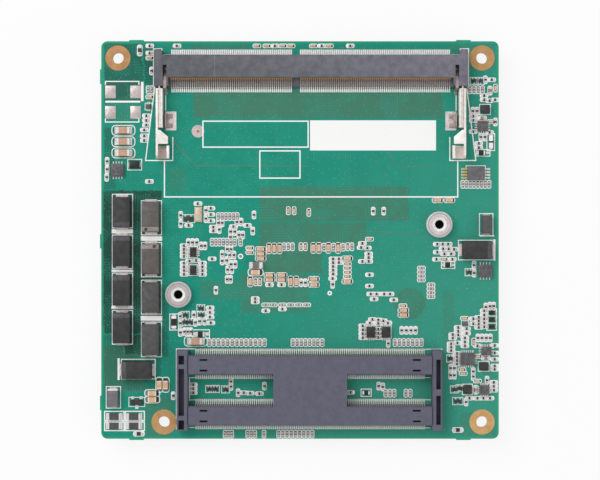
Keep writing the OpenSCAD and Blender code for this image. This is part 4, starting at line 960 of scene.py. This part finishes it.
# printed lines, each [x0, y0, x1, y1, width] in millimetres
inkSettings = dict(
    height=0.014,
    lines=(
        (-32.4, 19.0, -32.4, 10.3, 0.28), (37.7, 19.0, 37.7, 10.3, 0.28), (-32.4, 10.3, 37.7, 10.3, 0.3),
        (-34.7, 36.6, -36.9, 19.1, 0.25), (-36.9, 19.0, -30.4, 19.0, 0.25), (-30.4, 19.0, -30.4, 24.5, 0.25),
        (39.9, 36.0, 42.0, 19.1, 0.25), (42.0, 19.0, 35.8, 19.0, 0.25), (35.8, 19.0, 35.8, 24.5, 0.25),
        (-32.1, 34.5, -32.1, 31.0, 0.22), (37.3, 34.5, 37.3, 31.0, 0.22),
        (-46.4, 37.9, -38.6, 37.9, 0.25), (-46.3, 33.07, -38.4, 33.07, 0.44),
        (-46.4, 28.2, -38.6, 28.2, 0.25), (-37.7, 37.5, -37.7, 33.5, 0.62), (-46.5, 37.9, -46.5, 37.2, 0.25),
        (-38.5, 37.9, -38.5, 37.2, 0.25), (-46.5, 28.2, -46.5, 28.9, 0.25), (-38.5, 28.2, -38.5, 28.9, 0.25),
        (-29.55, -26.0, -25.0, -26.0, 0.2), (-29.55, -26.0, -29.55, -45.2, 0.2), (30.0, -26.1, 33.9, -26.1, 0.2),
        (33.9, -26.1, 33.9, -26.8, 0.2),
        (-26.4, -32.9, -26.4, -38.4, 0.2), (-26.4, -32.9, -24.9, -32.9, 0.18), (-26.4, -38.2, -25.2, -38.2, 0.18),
        (-26.4, -44.8, -25.2, -44.8, 0.18),
        (29.8, -32.9, 31.5, -32.9, 0.18), (29.8, -38.2, 31.5, -38.2, 0.18), (29.8, -44.9, 31.5, -44.9, 0.18),
        (-35.02, 45.7, -35.02, 36.9, 0.2), (-35.02, 45.7, -33.0, 45.7, 0.2), (-33.0, 45.6, -33.0, 44.3, 0.2),
        (-33.0, 44.3, -31.0, 44.3, 0.18),
        (40.3, 45.7, 40.3, 36.9, 0.2), (38.3, 45.7, 40.3, 45.7, 0.2), (38.3, 45.6, 38.3, 44.3, 0.2),
        (36.3, 44.3, 38.3, 44.3, 0.18),
        (-43.35, -33.2, -43.35, -28.5, 0.5), (46.45, -4.7, 46.45, -0.1, 0.5), (43.1, 1.0, 46.3, 1.0, 0.3),
        (-44.5, 2.07, -40.4, 2.07, 1.0), (-44.75, -7.35, -40.15, -7.35, 0.56),
        (-44.8, -16.15, -40.1, -16.15, 0.56), (-37.5, 0.35, -33.5, 0.35, 1.1),
        (-37.5, -18.7, -33.5, -18.7, 1.14),
    ),
    frames=(
        (-23.2, 22.2, 1.95, 28.4, 0.3), (-9.6, 14.8, 0.0, 21.3, 0.3),
        (-44.85, 2.9, -40.0, 10.95, 0.2), (-44.85, -6.8, -40.0, 1.2, 0.2), (-44.85, -15.8, -40.0, -7.9, 0.2),
        (-44.85, -24.9, -40.0, -16.8, 0.2),
        (-37.9, 1.2, -33.1, 9.4, 0.2), (-37.9, -8.8, -33.1, -0.6, 0.2), (-37.9, -17.7, -33.1, -9.6, 0.2),
        (-37.9, -27.9, -33.1, -19.6, 0.2),
        (-42.7, -33.2, -34.6, -28.5, 0.2), (37.85, -4.75, 45.9, -0.05, 0.2),
        (-46.7, -43.15, -42.05, -40.95, 0.26), (-41.75, -43.15, -37.2, -40.95, 0.26),
        (-46.7, -45.55, -42.05, -43.5, 0.26), (-41.75, -45.55, -37.2, -43.5, 0.26),
        (-25.7, -23.45, -21.65, -21.45, 0.2), (42.1, 20.05, 45.4, 21.65, 0.18), (33.8, -6.8, 37.0, -5.2, 0.18),
    ),
    fields=((2.4, 21.4, 32.5, 28.6),),
    boxed=(("transistor_bodies", 0.45, 0.16), ("diode_bodies", 0.42, 0.2), ("leaded_chip_bodies", 0.25, 0.16),
           ("flat_chip_bodies", 0.32, 0.16), ("choke_bodies", 0.22, 0.18)),
    unboxed=((-23.8, -22.5), (43.2, 20.8), (35.2, -5.9), (-43.6, 16.7), (44.2, -7.4), (43.6, 27.2), (44.5, -26.5),
             (40.0, -28.4), (44.0, -35.8)),
)


barCount = iter(range(10000))


def inkBar(x0, y0, x1, y1, width):
    run = Vector((x1 - x0, y1 - y0, 0))
    hair = (next(barCount) % 9) * 0.001      # no two strokes in one plane
    middle = ((x0 + x1) / 2, (y0 + y1) / 2, faceZ + hair)
    return sheetAt(run.length + width, width, middle, math.atan2(run.y, run.x))


def plated(name, rows, node, finish, height):
    # flat bars [x0, y0, x1, y1, width] joined and pulled up to a thin plate
    plates = joined(name, [inkBar(*row) for row in rows])
    plates.data.materials.clear()
    plates.data.materials.append(finishes[finish])
    return rideOn(pulledUp(plates, height), node)


def frameRows(x0, y0, x1, y1, width):
    sides = ((x0, y0, x1, y0), (x0, y1, x1, y1), (x0, y0, x0, y1), (x1, y0, x1, y1))
    return [(*side, width) for side in sides]


def boxedRows(boxed, unboxed=()):
    # outlines round the solids of some nodes, each [node, margin, width], but for the ones at some places
    rows = []
    for node, margin, width in boxed:
        for low, high in solidBoxes(node):
            middle = (low + high) / 2
            if not any(abs(middle.x - x) < 0.5 and abs(middle.y - y) < 0.5 for x, y in unboxed):
                rows += frameRows(low.x - margin, low.y - margin, high.x + margin, high.y + margin, width)
    return rows


inkRows = list(inkSettings["lines"])
for corners in inkSettings["frames"]:
    inkRows += frameRows(*corners)
inkRows += boxedRows(inkSettings["boxed"], inkSettings["unboxed"])
for x0, y0, x1, y1 in inkSettings["fields"]:
    wide, level = y1 - y0, (y0 + y1) / 2
    inkRows.append((x0 + wide / 2, level, x1 - wide / 2, level, wide))
plated("boardInk", inkRows, "circuit_board", "white board ink", inkSettings["height"])
print("printed lines:", len(inkRows))

# solder lands: a bright plate under each lead, pad and contact tail
landSettings = dict(
    height=0.02, leads=("leaded_chip_leads", "transistor_leads", "diode_terminals"), grow=0.1,
    pad=(0.27, 0.62), padOut=0.2,
    tails=dict(plug=(0.42, 0.62), roof=(0.45, 1.25), front=(0.42, 0.8)), tailIn=0.12, socketMiddle=40.5,
    plate=(2.6, 4.5), plateAt=((-30.85, 28.45), (36.05, 28.45)),
    extra=((-25.1, -22.45, -24.6, -22.45, 0.8), (-22.75, -22.45, -22.2, -22.45, 0.8),
           (42.45, 20.85, 42.7, 20.85, 0.6), (44.7, 20.85, 44.95, 20.85, 0.6),
           (34.15, -5.95, 34.4, -5.95, 0.6), (36.35, -5.95, 36.6, -5.95, 0.6), (-40.0, -37.75, -40.0, -37.85, 0.75),
           (-38.0, -37.75, -38.0, -37.85, 0.75),
           (-39.0, -39.85, -39.0, -39.95, 0.8)),
)


landRows = []
for node in landSettings["leads"]:
    for low, high in solidBoxes(node):
        wide, deep = high.x - low.x, high.y - low.y
        x, y = (low.x + high.x) / 2, (low.y + high.y) / 2
        half = abs(wide - deep) / 2 + landSettings["grow"]
        if wide > deep:
            landRows.append((x - half, y, x + half, y, deep + landSettings["grow"]))
        else:
            landRows.append((x, y - half, x, y + half, wide + landSettings["grow"]))
# the pads of a flat chip reach out from under it, so their lands do too
chipMiddles = [(low + high) / 2 for low, high in solidBoxes("flat_chip_bodies")]
for low, high in solidBoxes("flat_chip_pads"):
    spot = (low + high) / 2
    offset = min((spot - middle for middle in chipMiddles), key=lambda way: way.length)
    wide, long = landSettings["pad"]
    half = (long - wide) / 2
    if high.x - low.x > high.y - low.y:
        y = spot.y + math.copysign(landSettings["padOut"], offset.y)
        landRows.append((spot.x, y - half, spot.x, y + half, wide))
    else:
        x = spot.x + math.copysign(landSettings["padOut"], offset.x)
        landRows.append((x - half, spot.y, x + half, spot.y, wide))
landRows += landSettings["extra"]
plated("leadLands", landRows, "flat_chip_pads", "bright solder", landSettings["height"])


def tailPattern(kind):
    wide, deep = landSettings["tails"][kind]
    tail = cubeAt((wide, deep, 0.06), (0, 0, 0.03), finishes["bright solder"])
    editFaces(tail, lambda c, n: n.z > 0.9)
    bpy.ops.transform.resize(value=(0.7, 0.85, 1))
    closeEdit()
    return tail


tailPlan = {
    "plug_contacts_upper": "plug", "plug_contacts_lower": "plug",
    "memory_socket_upper_contacts": "roof", "memory_socket_lower_contacts": "front",
    "rear_socket_upper_contacts": "roof", "rear_socket_lower_contacts": "front",
}
tailCount = 0
for node, group in tailPlan.items():
    boxes = solidBoxes(node)
    reachOut = landSettings["tails"][group][1] / 2 - landSettings["tailIn"]
    middle = sum((low.y + high.y) / 2 for low, high in boxes) / len(boxes)
    if "socket" in node:
        middle = landSettings["socketMiddle"]
    spots = []
    for low, high in boxes:
        outer = high.y - reachOut if (low.y + high.y) / 2 > middle else low.y + reachOut
        spots.append(((low.x + high.x) / 2, outer, 0.0))
    stamped(tailPattern(group), node + "_tails", spots, backZ if "rear" in node else faceZ, node)
    tailCount += len(spots)
print("lands made:", len(landRows), "and", tailCount, "tails")

# a thin lid of the housing's own plastic over each latch root
lidSettings = dict(size=(2.3, 1.75, 0.3), inset=0.02, atY=37.42, atX=(-33.4, 38.6))
for housing, side in (("memory_socket_housing", 1), ("rear_socket_housing", -1)):
    low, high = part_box(housing)
    s = lidSettings
    outer = (high.z if side > 0 else low.z) / mm - side * (s["size"][2] / 2 + s["inset"])
    lids = []
    for x in s["atX"]:
        lid = cubeAt(s["size"], (x, s["atY"], outer), finishes["socket shell"])
        bevelEdges(lid, 0.06, 2)
        lids.append(lid)
    rideOn(joined(housing + "_lids", lids), housing)
print("lids over the latch roots made")

# a bent strip up out of the slot at each end of a socket, over its front wall and down to a foot on the board;
# bends are [y, height over the board]
stripSettings = dict(
    width=0.72, thick=0.14, atX=(-32.0, 37.2),
    bends=((41.0, 1.4), (40.5, 1.4), (38.7, 3.4), (37.6, 3.95), (36.05, 3.95), (35.55, 0.1), (34.8, 0.1)),
)
for holdDowns, side, face in (("memory_hold_downs", 1, faceZ), ("rear_hold_downs", -1, backZ)):
    s = stripSettings
    strips = []
    for x in s["atX"]:
        first, last = s["bends"][0][0], s["bends"][-1][0]
        strip = sheetAt(s["width"], first - last, (x, (first + last) / 2, face))
        strip.data.materials.append(finishes["brown shadowed"])
        for bend in s["bends"][1:-1]:
            cutAcross(strip, (0, bend[0], 0), (0, 1, 0))
        for y, level in s["bends"]:
            editFaces(strip, lambda c: abs(c.y - y) < 0.01, "VERT")
            bpy.ops.transform.translate(value=(0, 0, side * level * mm))
            closeEdit()
        sheet = strip.modifiers.new("sheet", "SOLIDIFY")
        sheet.thickness = s["thick"] * mm
        sheet.offset = 0
        sheet.use_even_offset = True
        only(strip)
        bpy.ops.object.modifier_apply(modifier="sheet")
        strips.append(strip)
    rideOn(joined(holdDowns + "_strips", strips), holdDowns)
print("spring strips made")

# the steel of a latch arm is folded back into its own channel
foldSettings = dict(size=(0.52, 9.1, 2.35), atY=31.25, atX=dict(left=-33.4, right=38.6), floor=0.6)
for socket, side, face in (("memory", 1, faceZ), ("rear", -1, backZ)):
    s = foldSettings
    for hand, x in s["atX"].items():
        latch = "%s_latch_%s" % (socket, hand)
        level = face + side * (s["floor"] + s["size"][2] / 2)
        fold = cubeAt(s["size"], (x, s["atY"], level), finishes["latch steel"])
        bevelEdges(fold, 0.12, 2, lambda a, b: abs(a.x - b.x) < 0.01 and abs(a.z - b.z) < 0.01)
        fold.name = latch + "_fold"
        rideOn(fold, latch)
print("latch folds made")

# printed outlines on the processor side, made on the front and turned over
rearInkSettings = dict(
    height=0.014,
    boxed=(("processor_substrate", 1.0, 0.25), ("rear_power_inductors", 0.4, 0.2), ("rear_power_chips", 0.35, 0.16)),
)
rearRows = boxedRows(rearInkSettings["boxed"])
rearInk = plated("rearInk", rearRows, "circuit_board", "white board ink", rearInkSettings["height"])
rearInk.data.transform(Matrix.Translation((0, 0, (faceZ + backZ) * mm)) @ Matrix.Diagonal((1, 1, -1, 1)))
rearInk.data.flip_normals()
print("printed outlines on the processor side:", len(rearRows))

# plates under the hold-downs
plateWide, plateLong = landSettings["plate"]
plateHalf = (plateLong - plateWide) / 2
plates = [(x, y - plateHalf, x, y + plateHalf, plateWide) for x, y in landSettings["plateAt"]]
plated("holdDownLands", plates, "circuit_board", "pale plate", 0.016)
# faint tracks below the mask, each [x0, y0, x1, y1, width]
trackRows = (
    (-31.5, 24.9, -25.0, 17.8, 0.22), (-25.0, 17.8, -10.2, 17.7, 0.22), (-9.6, 17.7, 2.0, 17.7, 0.2),
    (14.9, 1.6, 31.0, 1.4, 0.2), (21.1, 21.1, 23.0, 17.6, 0.18), (23.0, 17.6, 33.5, 17.4, 0.18),
)
plated("coveredTracks", trackRows, "circuit_board", "covered track", 0.008)
# round pads and rings, each [x, y, radius, finish]
roundSettings = dict(
    corners=28, height=0.014, step=0.006,
    discs=((-24.4, 26.0, 1.5, "lilac plate"), (-24.4, 26.0, 0.35, "copper dot"), (-14.2, -3.9, 0.64, "white board ink"),
           (-14.2, -3.9, 0.38, "dull solder"), (7.1, -12.7, 0.55, "white board ink"),
           (7.1, -12.7, 0.22, "green solder mask")),
)
for number, (x, y, radius, finish) in enumerate(roundSettings["discs"]):
    height = roundSettings["height"] + roundSettings["step"] * number
    disc = discAt(roundSettings["corners"], radius, (x, y, faceZ), finishes[finish], height)
    disc.name = "roundPad%d" % number
    rideOn(disc, "circuit_board")
print("plates, tracks and round pads made")

# stage: white floor, soft light all round, camera straight above
stageSettings = dict(camera=0.4, view=143.4, sky=0.52, key=2.6, fill=1.0)
deselectAll()
bpy.ops.mesh.primitive_plane_add(size=3, location=(0, 0, -0.0002))
floor = bpy.context.object
floor.name = "floorSheet"
floorShader, floorPlace = newFinish("white floor", {"Roughness": 0.9, "Specular IOR Level": 0.1})
speck = floorPlace.noise(0.02, 2.0, 0.5)
feed(floorShader, speck.mapped(0.3, 0.7).blend("f4f4f4", "f0f0f0"))
tree = floorShader.id_data
ray = tree.nodes.new("ShaderNodeLightPath")
seen = union(Wire(tree, ray.outputs["Is %s Ray" % kind]) for kind in ("Camera", "Glossy", "Transmission"))
glow = tree.nodes.new("ShaderNodeEmission")
glow.inputs["Color"].default_value = (1, 1, 1, 1)
glow.inputs["Strength"].default_value = 1.0
mixer = tree.nodes.new("ShaderNodeMixShader")
tree.links.new((seen * 0.86).socket, mixer.inputs[0])
tree.links.new(floorShader.outputs[0], mixer.inputs[1])
tree.links.new(glow.outputs[0], mixer.inputs[2])
tree.links.new(mixer.outputs[0], tree.nodes["Material Output"].inputs["Surface"])
floor.data.materials.append(finishes["white floor"])

world = bpy.data.worlds.new("softRoom")
bpy.context.scene.world = world
world.use_nodes = True
sky = world.node_tree.nodes["Background"]
sky.inputs["Color"].default_value = (1, 1, 1, 1)
sky.inputs["Strength"].default_value = stageSettings["sky"]


def softBox(name, place, side, power):
    lamp = bpy.data.lights.new(name, "AREA")
    lamp.shape = "SQUARE"
    lamp.size = side
    lamp.energy = power
    box = bpy.data.objects.new(name, lamp)
    bpy.context.collection.objects.link(box)
    box.location = place
    box.rotation_euler = (-Vector(place)).to_track_quat("-Z", "Y").to_euler()
    return box


softBox("keySoftBox", (-0.35, 0.30, 0.55), 0.5, stageSettings["key"])
softBox("fillSoftBox", (0.45, -0.25, 0.5), 0.6, stageSettings["fill"])

camera = bpy.data.cameras.new("topCamera")
camera.sensor_fit = "HORIZONTAL"
camera.angle = 2 * math.atan(stageSettings["view"] / 2 * mm / stageSettings["camera"])
camera.clip_start = 0.01
eye = bpy.data.objects.new("topCamera", camera)
bpy.context.collection.objects.link(eye)
eye.location = (0, 0, stageSettings["camera"] + faceZ * mm)
bpy.context.scene.camera = eye
bpy.context.scene.view_settings.view_transform = "Standard"

bpy.context.view_layer.update()
